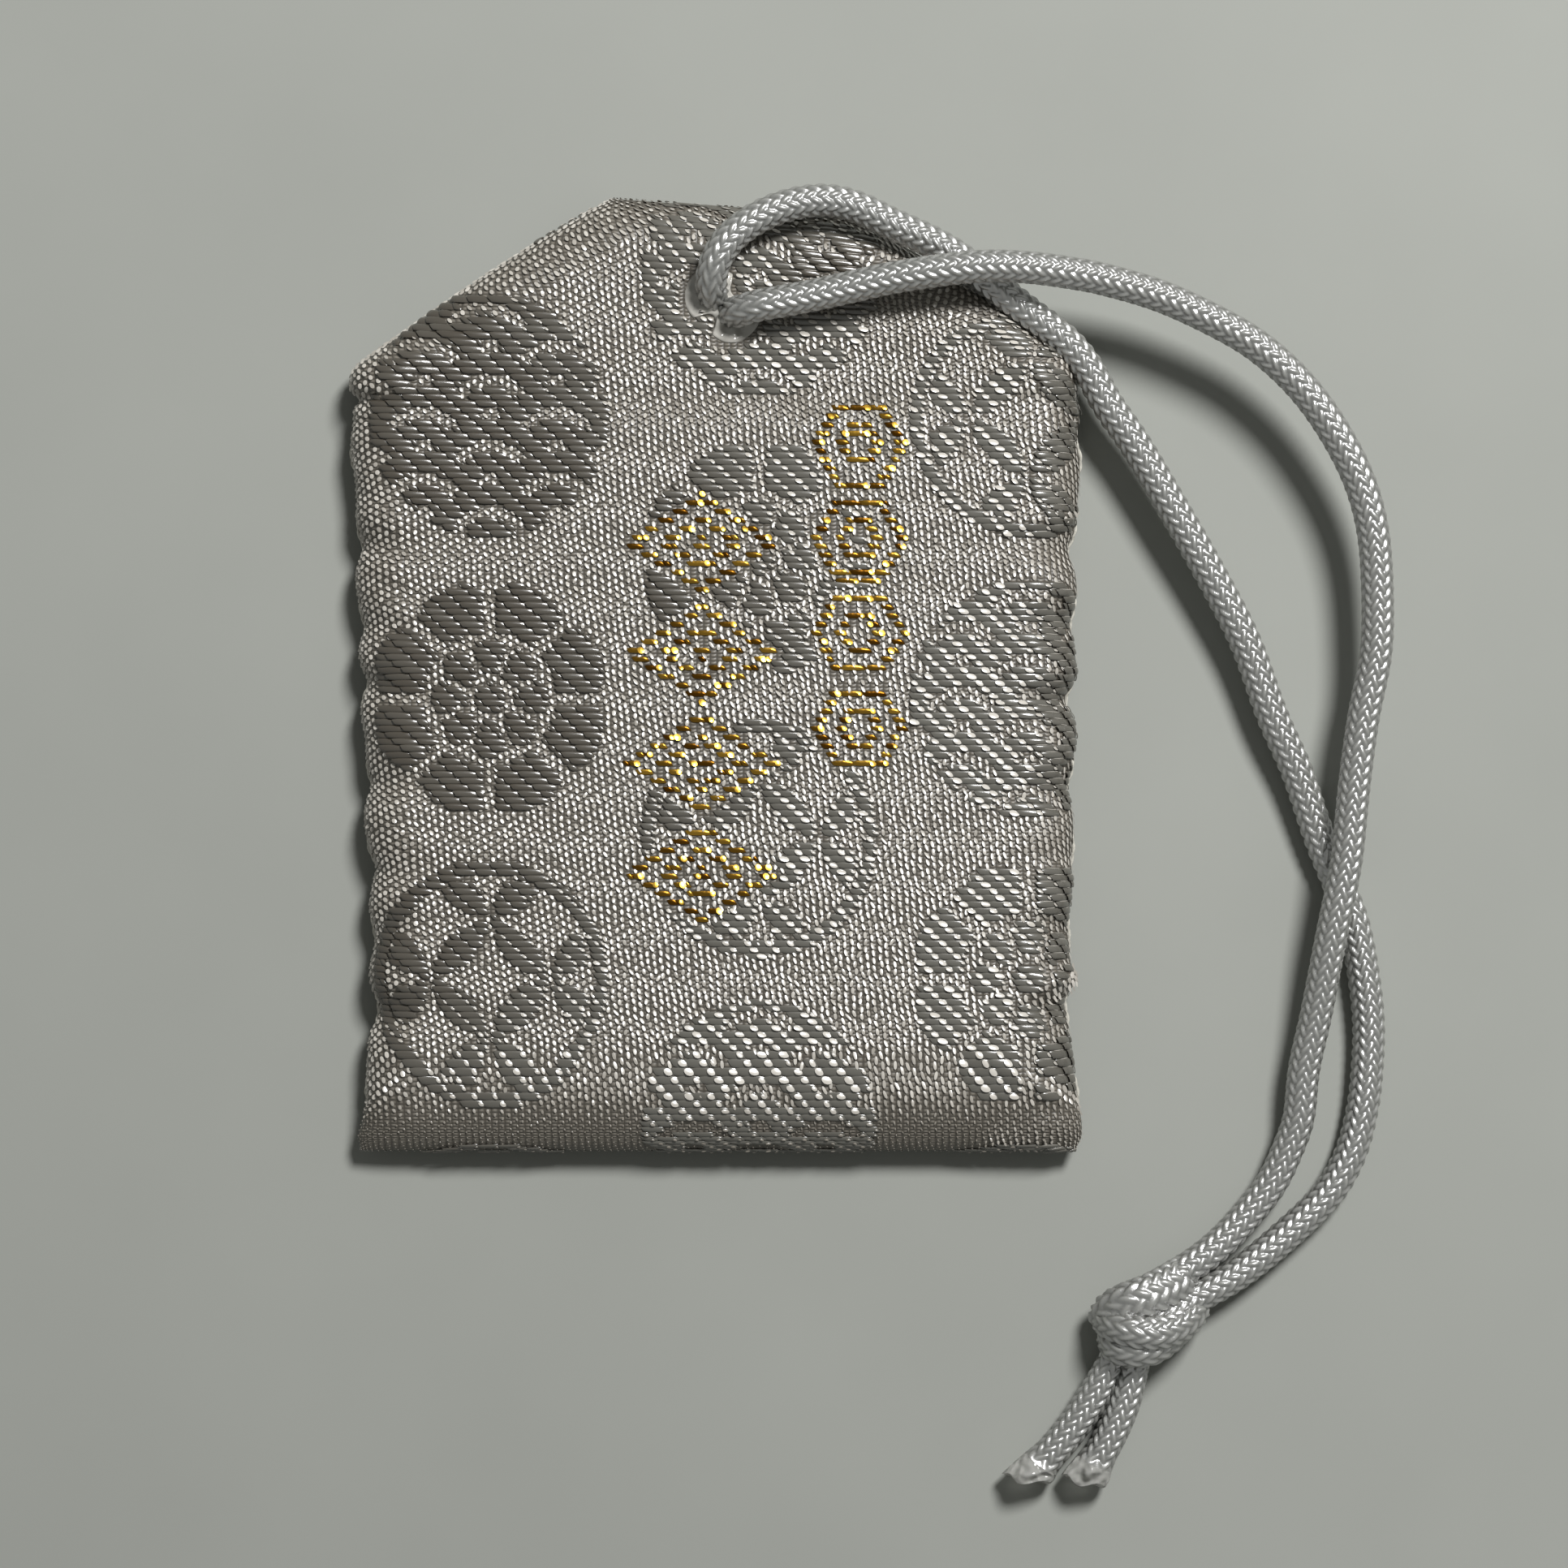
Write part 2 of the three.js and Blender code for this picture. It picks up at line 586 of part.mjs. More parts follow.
// A tail of the cord: a straight stub out of the knot with a flattened, heat-sealed tip.
// Its root is an offset from the middle of the knot, and its length counts from there.
const TAILS = {
  left: { root: [-2, -2.55], heading: 229, length: LEFT_TAIL_LENGTH },
  right: { root: [0.05, -3.3], heading: 248, length: RIGHT_TAIL_LENGTH },
};
const tailRoom = knotSolid(TAIL_GAP);
function cordTail({ root, heading, length }) {
  const radius = TAIL_DIAMETER / 2;
  const stub = new THREE.CylinderGeometry(radius, radius, length, CORD_SIDES, 2);
  const positions = stub.attributes.position;
  for (let i = 0; i < positions.count; i += 1) {
    const along = positions.getY(i);
    const middleRing = Math.abs(along) < length / 4;
    if (middleRing) {
      positions.setY(i, length / 2 - TAIL_TIP_LENGTH);
    } else if (along > 0) {
      positions.setZ(i, (positions.getZ(i) * TAIL_TIP_THICKNESS) / TAIL_DIAMETER);
    }
  }
  stub.rotateZ(-Math.PI / 2);
  stub.translate(length / 2, 0, 0);
  stub.rotateZ(THREE.MathUtils.degToRad(heading));
  stub.translate(KNOT_CENTRE.x + root[0], KNOT_CENTRE.y + root[1], radius + KNOT_FLOOR_GAP);
  return toGeometry(toSolid(stub).subtract(tailRoom));
}

// Materials
const finish = (color, roughness) => new THREE.MeshStandardMaterial({ color, roughness, metalness: 0 });
const brocade = () => finish(0xc9c4ba, 0.45);
const interlining = () => finish(0xe4e2dc, 0.9);
const thread = () => finish(0xe8e5dc, 0.7);
const cardboard = () => finish(0xb9a58a, 0.9);
const washi = () => finish(0xf0ead8, 0.95);
const braid = () => finish(0xe6e5e2, 0.5);

const charm = new THREE.Group();
function addPiece(name, geometry, material) {
  const mesh = new THREE.Mesh(geometry, material);
  mesh.name = name;
  charm.add(mesh);
}

addPiece('front_cloth', frontCloth(), brocade());
addPiece('back_cloth', backCloth(), brocade());
addPiece('front_lining', frontLining(), interlining());
addPiece('back_lining', backLining(), interlining());
addPiece('left_seam_thread', seamThread(-1), thread());
addPiece('right_seam_thread', seamThread(1), thread());
addPiece('left_corner_tuck', cornerTuck(-1), brocade());
addPiece('right_corner_tuck', cornerTuck(1), brocade());
addPiece('paper_sleeve', paperSleeve(), washi());
addPiece('stiffener_card', stiffenerCard(), cardboard());
addPiece('prayer_slip', prayerSlip(), washi());
addPiece('keeper_stitch', keeperStitch(), thread());
addPiece('cord_bight', cordBight(), braid());
addPiece('cord_upper_near', cordLeg(UPPER_NEAR_ROUTE, UPPER_NEAR_STEPS), braid());
addPiece('cord_lower_near', cordLeg(LOWER_NEAR_ROUTE, LOWER_NEAR_STEPS), braid());
addPiece('cord_upper_far', cordLeg(UPPER_FAR_ROUTE, FAR_STEPS), braid());
addPiece('cord_lower_far', cordLeg(LOWER_FAR_ROUTE, FAR_STEPS), braid());
addPiece('cord_knot', toGeometry(knot), braid());
addPiece('cord_tail_left', cordTail(TAILS.left), braid());
addPiece('cord_tail_right', cordTail(TAILS.right), braid());

export default charm;
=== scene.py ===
"""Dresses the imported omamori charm: a pouch of figured brocade with a gold weft, and its knotted cord."""

from math import pi

import bpy
import numpy as np
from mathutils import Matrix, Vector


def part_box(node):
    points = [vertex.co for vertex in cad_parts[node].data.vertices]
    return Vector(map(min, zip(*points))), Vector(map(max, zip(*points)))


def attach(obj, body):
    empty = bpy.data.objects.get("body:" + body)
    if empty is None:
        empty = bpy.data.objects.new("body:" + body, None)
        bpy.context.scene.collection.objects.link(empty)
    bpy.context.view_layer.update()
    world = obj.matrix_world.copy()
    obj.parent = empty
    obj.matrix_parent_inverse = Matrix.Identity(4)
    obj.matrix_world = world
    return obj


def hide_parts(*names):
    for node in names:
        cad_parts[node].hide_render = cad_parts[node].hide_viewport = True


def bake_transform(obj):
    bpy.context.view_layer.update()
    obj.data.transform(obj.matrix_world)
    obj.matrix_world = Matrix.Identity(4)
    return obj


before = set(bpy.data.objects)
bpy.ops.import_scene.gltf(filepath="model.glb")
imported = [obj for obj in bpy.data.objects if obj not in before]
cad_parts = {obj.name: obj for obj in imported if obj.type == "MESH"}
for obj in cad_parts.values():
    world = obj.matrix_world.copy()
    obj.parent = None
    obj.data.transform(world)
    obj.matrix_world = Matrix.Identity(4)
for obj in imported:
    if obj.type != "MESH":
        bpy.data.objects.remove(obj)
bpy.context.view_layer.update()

bl_info = {
    "name": "Omamori charm",
    "version": (1, 0, 0),
    "blender": (4, 5, 0),
    "location": "3D View > Sidebar > Omamori",
    "description": "Makes the cloth, the cord and the stage of a brocade charm pouch over its packed frame",
    "category": "Object",
}

MM = 0.001
UV_SPAN = 100 * MM  # the length of cloth that one unit of its UV map stands for
AROUND = 72  # points in one ring of the braid
FIRST_STITCH = 4.2 * MM  # height of a seam's first stitch over the bottom fold
FILM_MARGIN = 0.8 * MM  # how far the melted film reaches over the edge of the hole
LINING = 0.2 * MM  # thickness of the interlining
LINING_SHARE = 0.86  # size of the interlining as a share of the cloth's
FLARE = 2.6 * MM  # length over which a tail spreads towards its end
MELT = 2.0 * MM  # length of a tail's end over which its yarns begin to melt

# The cord's two legs, from the hole to the knot: the part's routes, drawn together in the hole's mouth.
UPPER_LEG = np.array([
    (-0.1, 26.25, 3.7), (-0.14, 26.35, 4.1), (-0.27, 26.95, 5.05), (-0.05, 28.3, 5.7), (0.8, 29.8, 5.75),
    (2.1, 31.0, 5.65), (3.9, 32.0, 5.5), (5.8, 32.6, 5.3), (7.9, 32.8, 5.05), (10.0, 32.3, 4.75),
    (12.1, 31.3, 4.45), (14.9, 30.1, 4.1), (17.0, 28.9, 3.85), (19.8, 26.7, 3.6), (21.9, 25.1, 3.4),
    (24.3, 23.3, 3.2), (25.9, 21.4, 3.0), (27.2, 19.0, 2.9), (29.1, 16.3, 2.75), (31.8, 11.8, 2.6),
    (34.4, 7.3, 2.35), (36.9, 2.5, 2.1), (38.8, -2.6, 1.8), (40.6, -6.6, 1.5), (42.2, -11.2, 1.25),
    (43.5, -14.4, 1.18), (44.7, -17.6, 1.16), (45.6, -23.4, 1.16), (45.5, -27.9, 1.16), (45.1, -30.7, 1.16),
    (44.3, -33.5, 1.16), (42.7, -36.2, 1.2), (40.0, -38.8, 1.35), (37.3, -41.0, 1.6), (35.1, -42.4, 1.85),
    (32.0, -43.9, 2.1),
]) * MM
LOWER_LEG = np.array([
    (1.15, 25.1, 3.7), (1.2, 25.1, 4.1), (1.85, 25.22, 5.05), (3.1, 25.5, 5.7), (5.2, 25.85, 5.75),
    (8.4, 26.5, 5.85), (11.6, 27.2, 6.1), (12.9, 27.42, 6.2), (15.5, 27.8, 6.4), (18.7, 28.1, 6.4),
    (21.9, 28.0, 6.1), (25.2, 27.6, 5.6), (26.8, 27.3, 5.4), (30.7, 26.2, 5.1), (34.7, 24.4, 4.9),
    (37.7, 22.6, 4.8), (40.6, 19.9, 4.7), (42.9, 16.7, 4.6), (44.6, 13.3, 4.5), (45.5, 9.8, 4.45),
    (45.8, 5.5, 4.35), (45.7, 1.5, 4.25), (44.9, -2.6, 4.1), (44.3, -7.1, 3.95), (43.8, -12.2, 3.8),
    (43.4, -14.6, 3.72), (42.7, -18.2, 3.4), (41.8, -23.4, 2.6), (41.0, -27.3, 2.1), (40.7, -30.7, 1.75),
    (40.0, -32.8, 1.55), (38.9, -35.2, 1.45), (37.2, -37.4, 1.5), (35.4, -39.3, 1.75), (33.3, -40.9, 2.1),
    (30.6, -42.4, 2.5),
]) * MM
# Where each leg would start and end its bend when the loop is lifted; this script makes no such bend and
# does not read these.
UPPER_LIFT = ((0.0155, 0.0285, 0.004), (0.0265, 0.021, 0.003))
LOWER_LIFT = ((0.011, 0.0285, 0.005), (0.022, 0.0275, 0.005))
# The cord inside the pouch: down from the hole, round the keeper stitch and up again.
BIGHT = np.array([
    (-0.1, 26.25, 3.45), (-0.2, 26.2, 3.0), (-0.6, 25.9, 2.3), (-1.1, 24.7, 2.05), (-1.3, 23.0, 2.0),
    (-1.3, 21.6, 2.0), (-0.83, 20.47, 2.0), (0.3, 20.0, 2.0), (1.43, 20.47, 2.0), (1.9, 21.6, 2.0),
    (1.85, 23.0, 2.05), (1.6, 24.4, 2.3), (1.25, 25.0, 3.0), (1.15, 25.1, 3.45),
]) * MM
# The parts of the knotted cord that show, each with its width over its thickness.
KNOT_STRANDS = (
    (1.38, np.array([
        (32.6, -41.9, 2.2), (31.2, -42.6, 3.0), (29.9, -43.1, 3.5), (28.6, -43.6, 3.4), (27.7, -44.3, 2.6),
        (27.4, -45.2, 1.6),
    ]) * MM),
    (1.0, np.array([
        (33.4, -43.2, 2.0), (32.0, -43.8, 2.5), (30.5, -44.2, 2.9), (28.9, -44.5, 3.0), (28.0, -44.9, 2.6),
        (27.6, -45.6, 1.8),
    ]) * MM),
    (1.08, np.array([
        (27.4, -44.9, 1.6), (27.6, -45.0, 2.9), (28.6, -45.3, 4.0), (30.1, -45.5, 4.2), (31.6, -45.3, 3.6),
        (32.8, -44.7, 2.6), (33.5, -43.9, 1.5),
    ]) * MM),
    (1.08, np.array([
        (27.7, -46.2, 1.5), (27.9, -46.6, 2.6), (28.8, -46.75, 3.4), (30.1, -46.6, 3.4), (31.3, -46.0, 2.8),
        (32.3, -45.2, 2.0), (33.0, -44.5, 1.4),
    ]) * MM),
)
KNOT_CENTRE = np.array((30.0, -44.8, 2.1)) * MM
KNOT_CORE = np.array((2.2, 1.3, 0.0)) * MM  # half the core's length
# Each tail's root, heading, length, bow to one side, and the slant of its cut end.
TAILS = {
    "left": (np.array((28.2, -46.7, 1.3)) * MM, np.radians(235), 11.3 * MM, 0.6 * MM, 1.0),
    "right": (np.array((29.5, -47.2, 1.3)) * MM, np.radians(247), 9.7 * MM, 0.5 * MM, 0.5),
}


def srgb(code):
    """Turns an sRGB hex colour into the linear colour, with full alpha, that shaders work with."""
    parts = [int(code[i : i + 2], 16) / 255 for i in (1, 3, 5)]
    return tuple(p / 12.92 if p <= 0.04045 else ((p + 0.055) / 1.055) ** 2.4 for p in parts) + (1.0,)


def length(name, description, millimetres):
    """A length setting, written in millimetres and kept in metres."""
    return bpy.props.FloatProperty(
        name=name, description=description, default=millimetres * MM, unit="LENGTH", precision=5
    )


def colour(name, description, code):
    """A colour setting, written as sRGB hex and kept linear."""
    return bpy.props.FloatVectorProperty(
        name=name, description=description, default=srgb(code), size=4, subtype="COLOR", min=0, max=1
    )


class PouchSettings(bpy.types.PropertyGroup):
    """Sizes of the sewn pouch."""

    width: length("Width", "Width of the pouch across its shoulders", 50)
    height: length("Height", "Height of the pouch from the bottom fold to the top edge", 66)
    shoulder_drop: length("Shoulder drop", "How far below the top edge the sloping shoulders end", 11.8)
    top_left: length("Top edge, left", "Reach of the top edge to the left of the middle", 7.4)
    top_right: length("Top edge, right", "Reach of the top edge to the right of the middle", 9.7)
    top_tilt: length("Top tilt", "How much lower the right end of the top edge lies", 1.3)
    left_draw: length("Left draw", "How far the left seam is drawn in above its bottom corner", 2.2)
    right_draw: length("Right draw", "How far the right seam is drawn in above its bottom corner", 0.9)
    corner_flare: length("Corner flare", "Height over which the bottom corners flare out", 5)
    body_height: length("Body height", "Height of the front face over the paper pack", 4.0)
    head_height: length("Head height", "Height of the front face between the shoulders", 4.15)
    seam_allowance: length("Seam allowance", "How far a side bulges out between its stitches", 0.5)
    crown: length("Crown", "Extra height of the front face in the middle", 0.55)
    seam_level: length("Seam level", "Height of the side seams above the table", 1.6)
    side_round: length("Side round", "Width over which a side rolls down to its seam", 3.4)
    bottom_round: length("Bottom round", "Width over which the front rolls down to the bottom fold", 7.0)
    top_round: length("Top round", "Width over which the front rolls down to the top edge", 3.6)
    cloth: length("Cloth", "Thickness of the brocade", 0.35)
    stitch_pitch: length("Stitch pitch", "Distance between the stitches of a side seam", 5.5)
    scallop: length("Scallop", "How far a stitch pulls the side of the pouch in", 0.5)
    pucker: length("Pucker", "How deep a stitch pulls the cloth down next to the seam", 0.6)
    hole_radius: length("Hole radius", "Room round each strand of the cord in its hole", 1.3)
    lining_hole: length("Lining hole", "Reach of the interlining's wider hole round the strands", 2.5)


class WeaveSettings(bpy.types.PropertyGroup):
    """Threads and colours of the brocade."""

    warp_pitch: length("Warp pitch", "Distance between the columns of the ground weave", 0.46)
    weft_pitch: length("Weft pitch", "Distance between the dashes of a column", 0.52)
    float_length: length("Float length", "Length of a weft float in a figure", 1.5)
    float_row: length("Float row", "Distance between the rows of floats", 0.45)
    roundel: length("Roundel", "Radius of a woven roundel", 8.2)
    gold_row: length("Gold row", "Distance between the rows of gold weft", 0.6)
    ground_light: colour("Ground, light", "Colour of the weft that shows between the warp", "#857f75")
    # Painted shade: the dark ground colour stands for the shade in the gaps between the threads.
    ground_gap_shade: colour("Ground, dark", "Colour of the gaps between the threads", "#4a453d")
    warp: colour("Warp", "Colour of the bright warp where it comes up", "#d2cdc4")
    # Painted light: the paler float colour stands for floats lit by the lamp on the right, and the darker
    # one for floats in shade.
    float_painted_lit: colour("Float, light", "Colour of the paler figure floats", "#6a6861")
    float_painted_shade: colour("Float, dark", "Colour of the darker figure floats", "#49433a")
    gold: colour("Gold", "Colour of the gold weft where it bends up", "#e3b54a")
    # Painted reflection: the dark colour stands for the dark room that the flat film reflects.
    gold_dark_reflection: colour("Gold, dark", "Colour of the gold weft where it lies flat", "#5a3a0e")


class CordSettings(bpy.types.PropertyGroup):
    """Sizes and colours of the braided cord."""

    diameter: length("Diameter", "Diameter of the braided cord", 2.2)
    tail_diameter: length("Tail diameter", "Diameter of the loosened tails", 2.3)
    braid_pitch: length("Braid pitch", "Distance between one V of the braid and the next", 0.82)
    relief: length("Relief", "How far the yarns of the braid stand up", 0.2)
    yarns: bpy.props.IntProperty(
        name="Yarns",
        description="Yarns that run each way round the braid, an even number",
        default=12,
        min=4,
    )
    # Painted light: the light colour is a painted highlight on the tops of the yarns, and the dark one is
    # painted shade between them.
    light: colour("Light", "Colour of the tops of the yarns", "#90908b")
    dark: colour("Dark", "Colour between the yarns", "#40403c")


class StageSettings(bpy.types.PropertyGroup):
    """Floor, lamp and camera."""

    floor: colour("Floor", "Colour of the paper that the charm lies on", "#a8aaa4")
    lamp_power: bpy.props.FloatProperty(
        name="Lamp power", description="Power of the soft lamp", default=3.25, unit="POWER"
    )
    lamp_size: length("Lamp size", "Diameter of the soft lamp", 150)
    fill: bpy.props.FloatProperty(
        name="Fill", description="Strength of the light from all round", default=0.15, min=0
    )
    camera_height: length("Camera height", "Height of the camera above the table", 284)
    view_width: length("View width", "Width of the picture at the front face", 108.5)


def add_node(tree, kind, inputs=None, **settings):
    """Adds a node with its settings. An input given as a socket is linked, and any other value is set."""
    made = tree.nodes.new(kind)
    for key, value in settings.items():
        setattr(made, key, value)
    for key, value in (inputs or {}).items():
        if isinstance(value, bpy.types.NodeSocket):
            tree.links.new(value, made.inputs[key])
        else:
            made.inputs[key].default_value = value
    return made


def new_material(name, values):
    """A node material, its tree and its shader, which has the values set on its own sockets."""
    material = bpy.data.materials.new(name)
    material.use_nodes = True
    shader = material.node_tree.nodes["Principled BSDF"]
    for key, value in values.items():
        shader.inputs[key].default_value = value
    return material, material.node_tree, shader


def math_node(tree, operation, *values):
    """The result of a maths node on one or two values or sockets."""
    return add_node(tree, "ShaderNodeMath", dict(enumerate(values)), operation=operation).outputs[0]


def object_noise(tree, grain, detail, squeeze=(1.0, 1.0, 1.0)):
    """Noise in the object's own space: grain is the size of its lumps, and squeeze draws them out."""
    place = add_node(tree, "ShaderNodeTexCoord").outputs["Object"]
    if squeeze != (1.0, 1.0, 1.0):
        place = add_node(tree, "ShaderNodeMapping", {"Vector": place, "Scale": squeeze}).outputs[0]
    noise = add_node(tree, "ShaderNodeTexNoise", {"Vector": place, "Scale": 1 / grain, "Detail": detail})
    return noise.outputs[0]


def point_value(tree, name):
    """A value that the mesh holds at its points."""
    return add_node(tree, "ShaderNodeAttribute", attribute_name=name).outputs["Fac"]


def tint_and_bump(tree, shader, factor, dark, light, height=None, depth=0.0):
    """Colours a shader from dark to light by a factor, and gives it relief if a height is given."""
    tint = add_node(tree, "ShaderNodeMix", {"Factor": factor, "A": dark, "B": light}, data_type="RGBA")
    tree.links.new(tint.outputs["Result"], shader.inputs["Base Color"])
    if height is not None:
        bump = add_node(tree, "ShaderNodeBump", {"Height": height, "Distance": depth})
        tree.links.new(bump.outputs[0], shader.inputs["Normal"])


def smoothstep(x, low, high):
    """A smooth rise from 0 at low to 1 at high."""
    t = np.clip((x - low) / (high - low), 0, 1)
    return t * t * (3 - 2 * t)


def grid_faces(rows, columns, wrap=False):
    """Quads of a grid of rows by columns of vertices; wrap joins the last column to the first."""
    r = np.arange(rows - 1)[:, None] * columns
    c = np.arange(columns if wrap else columns - 1)[None, :]
    n = (c + 1) % columns
    quads = np.stack([r + c, r + n, r + columns + n, r + columns + c], axis=-1)
    return quads.reshape(-1, 4)


def add_object(name, data):
    """Puts an object with its data into the scene."""
    made = bpy.data.objects.new(name, data)
    bpy.context.scene.collection.objects.link(made)
    return made


def mesh_piece(name, points, faces, materials, body, values=None, uv=None):
    """Makes a smooth piece from points and faces, with point values and a UV map if they are given."""
    mesh = bpy.data.meshes.new(name)
    faces = faces if isinstance(faces, list) else faces.tolist()
    mesh.from_pydata(points.reshape(-1, 3).tolist(), [], faces)
    if uv is not None:
        corners = np.zeros(len(mesh.loops), np.int32)
        mesh.loops.foreach_get("vertex_index", corners)
        layer = mesh.uv_layers.new(name="cloth")
        layer.data.foreach_set("uv", uv.reshape(-1, 2)[corners].astype(np.float32).ravel())
    for key, value in (values or {}).items():
        layer = mesh.attributes.new(key, "FLOAT", "POINT")
        layer.data.foreach_set("value", value.astype(np.float32).ravel())
    mesh.polygons.foreach_set("use_smooth", np.ones(len(mesh.polygons), bool))
    for material in materials:
        mesh.materials.append(material)
    piece = add_object(name, mesh)
    if body:
        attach(piece, body)
    return piece


def thicken(piece, thickness, rim=0):
    """Gives a sheet its thickness, inwards; rim is the place of its edge's material after the face's."""
    wall = piece.modifiers.new("thickness", "SOLIDIFY")
    wall.thickness = thickness
    wall.offset = -1
    wall.material_offset_rim = rim


def route(points, step, soften):
    """A smooth path through points: a Catmull-Rom curve, softened along its length and cut at even steps."""
    p = np.vstack([2 * points[0] - points[1], points, 2 * points[-1] - points[-2]])
    t = np.linspace(0, 1, 40, endpoint=False)[None, :, None]
    a, b, c, d = (p[i : len(p) - 3 + i, None, :] for i in range(4))
    curve = 0.5 * (
        2 * b + (c - a) * t + (2 * a - 5 * b + 4 * c - d) * t**2 + (3 * b - a - 3 * c + d) * t**3
    )
    curve = np.vstack([curve.reshape(-1, 3), points[-1:]])
    curve = even_steps(curve, step)
    reach = max(int(3 * soften / step), 1)
    weight = np.exp(-0.5 * (np.arange(-reach, reach + 1) * step / soften) ** 2)
    weight /= weight.sum()
    before = 2 * curve[0] - curve[reach:0:-1]
    after = 2 * curve[-1] - curve[-2 : -reach - 2 : -1]
    longer = np.vstack([before, curve, after])
    soft = np.stack([np.convolve(longer[:, k], weight, "valid") for k in range(3)], axis=1)
    return even_steps(soft, step)


def even_steps(curve, step):
    """The same path with its points an even step apart."""
    gone = np.concatenate([[0], np.cumsum(np.linalg.norm(np.diff(curve, axis=0), axis=1))])
    at = np.linspace(0, gone[-1], max(int(round(gone[-1] / step)), 8) + 1)
    return np.stack([np.interp(at, gone, curve[:, k]) for k in range(3)], axis=1)


def path_frames(path, first):
    """Tangent, normal and binormal at each point of a path; the normal is carried along without twist."""
    tangent = np.gradient(path, axis=0)
    tangent /= np.linalg.norm(tangent, axis=1)[:, None]
    normal = np.empty_like(path)
    now = np.asarray(first, float)
    for i, t in enumerate(tangent):
        now = now - t * (now @ t)
        now = now / np.linalg.norm(now)
        normal[i] = now
    return tangent, normal, np.cross(tangent, normal)


def braid_relief(turn, along):
    """Height of a round braid, 0 to 1: two sets of yarns slant opposite ways round the cord, and each passes
    over two of the other set and then under two, as a herringbone. A yarn on top is a long bead that is
    round across and dips towards its two ends."""
    p = turn + along
    q = turn - along
    first = np.mod(q + np.floor(p), 4)
    second = np.mod(p + np.floor(q), 4)
    over = first < 2
    across = np.where(over, np.mod(p, 1), np.mod(q, 1)) - 0.5
    lengthways = np.where(over, first, second - 2) - 1
    return np.cos(pi * across) * (1 - 0.7 * lengthways**2)


def ring_angles(around):
    """The angles of a ring's points."""
    return np.arange(around) * (2 * pi / around)


def tube_rings(path, first, radius, wide=1.0, tall=1.0):
    """Rings of points round a path, each point at its own radius, and each ring stretched sideways and
    upwards. Returns the points and the path's tangents."""
    tangent, normal, binormal = path_frames(path, first)
    angle = ring_angles(radius.shape[1])
    upwards = (radius * np.cos(angle) * np.reshape(tall, (-1, 1)))[..., None] * normal[:, None, :]
    sideways = (radius * np.sin(angle) * np.reshape(wide, (-1, 1)))[..., None] * binormal[:, None, :]
    return (path[:, None, :] + upwards + sideways).reshape(-1, 3), tangent


def braided_tube(cord, path, diameter, first, shape=(1.0, 1.0), fade=None, pack=1.0):
    """A braid carried along a path: rings of points at the cord's radius, with the yarns standing up by the
    relief. Shape stretches each ring (sideways, upwards), fade melts the yarns away where it is 1, and pack
    pushes the Vs closer together, or turns them round if it is below 0. Returns its points, faces, and the
    height of the yarns at each point."""
    melted = 0.7  # height of the surface where the yarns have run together
    sunk = 0.72  # share of the relief that lies within the cord's own radius
    step = np.linalg.norm(path[1] - path[0])
    turn = ring_angles(AROUND)[None, :] / (2 * pi) * cord.yarns
    along = np.arange(len(path))[:, None] * step * pack / cord.braid_pitch
    relief = braid_relief(turn, along)
    if fade is not None:
        relief = relief * (1 - fade[:, None]) + melted * fade[:, None]
    radius = diameter / 2 - sunk * cord.relief + cord.relief * relief
    points, tangent = tube_rings(path, first, radius, *shape)
    count = len(points)
    last = count - AROUND
    ring = np.arange(AROUND)
    following = (ring + 1) % AROUND
    faces = grid_faces(len(path), AROUND, wrap=True).tolist()
    faces += np.stack([np.full(AROUND, count), following, ring], axis=1).tolist()
    faces += np.stack([np.full(AROUND, count + 1), last + ring, last + following], axis=1).tolist()
    ends = np.stack([path[0] - tangent[0] * 0.1 * MM, path[-1] + tangent[-1] * 0.1 * MM])
    return np.vstack([points, ends]), faces, np.concatenate([relief.ravel(), [0.5, 0.5]])


def join_tubes(tubes):
    """Puts several tubes into one set of points, faces and heights."""
    faces, start = [], 0
    for tube in tubes:
        faces += [[start + i for i in face] for face in tube[1]]
        start += len(tube[0])
    return np.vstack([tube[0] for tube in tubes]), faces, np.concatenate([tube[2] for tube in tubes])


def cord_piece(name, tube, materials, body):
    """A piece of the cord from the points, faces and heights of a tube."""
    points, faces, relief = tube
    return mesh_piece(name, points, faces, materials, body, {"relief": relief})


def weave_piece(name, pads, material):
    """A piece of the weave from the points, faces and tones of its pads."""
    points, faces, tone = pads
    mesh_piece(name, points, faces, [material], "pouch", {"tone": tone})


def join_pads(parts):
    """Puts several sets of pads into one set of points, faces and tones."""
    first = np.cumsum([0] + [len(part[0]) for part in parts])
    faces = np.vstack([part[1] + shift for part, shift in zip(parts, first)])
    return np.vstack([part[0] for part in parts]), faces, np.concatenate([part[2] for part in parts])


def bell(x, middle, wide):
    """A bell of height 1 round a middle."""
    return np.exp(-(((x - middle) / wide) ** 2))


def by_side(u, formula, *values):
    """A formula's result for the left side where u is below 0, and for the right side elsewhere."""
    return np.where(u < 0, formula(*values, -1), formula(*values, 1))


def stitch_pull(pouch, y, side):
    """How strongly the seam's stitches pull at height y: a narrow bell round every stitch, each of its own
    strength and a little out of place, as sewn by hand."""
    rng = np.random.default_rng(11 if side < 0 else 5)
    count = int((pouch.height - pouch.shoulder_drop - 5 * MM) / pouch.stitch_pitch)
    place = -pouch.height / 2 + FIRST_STITCH + pouch.stitch_pitch * np.arange(count)
    place = place + rng.uniform(-0.9, 0.9, count) * MM
    strength = rng.uniform(0.35, 1.25, count)
    strength[0] *= 0.15
    return (strength * bell(y[..., None], place, 1.15 * MM)).sum(-1)


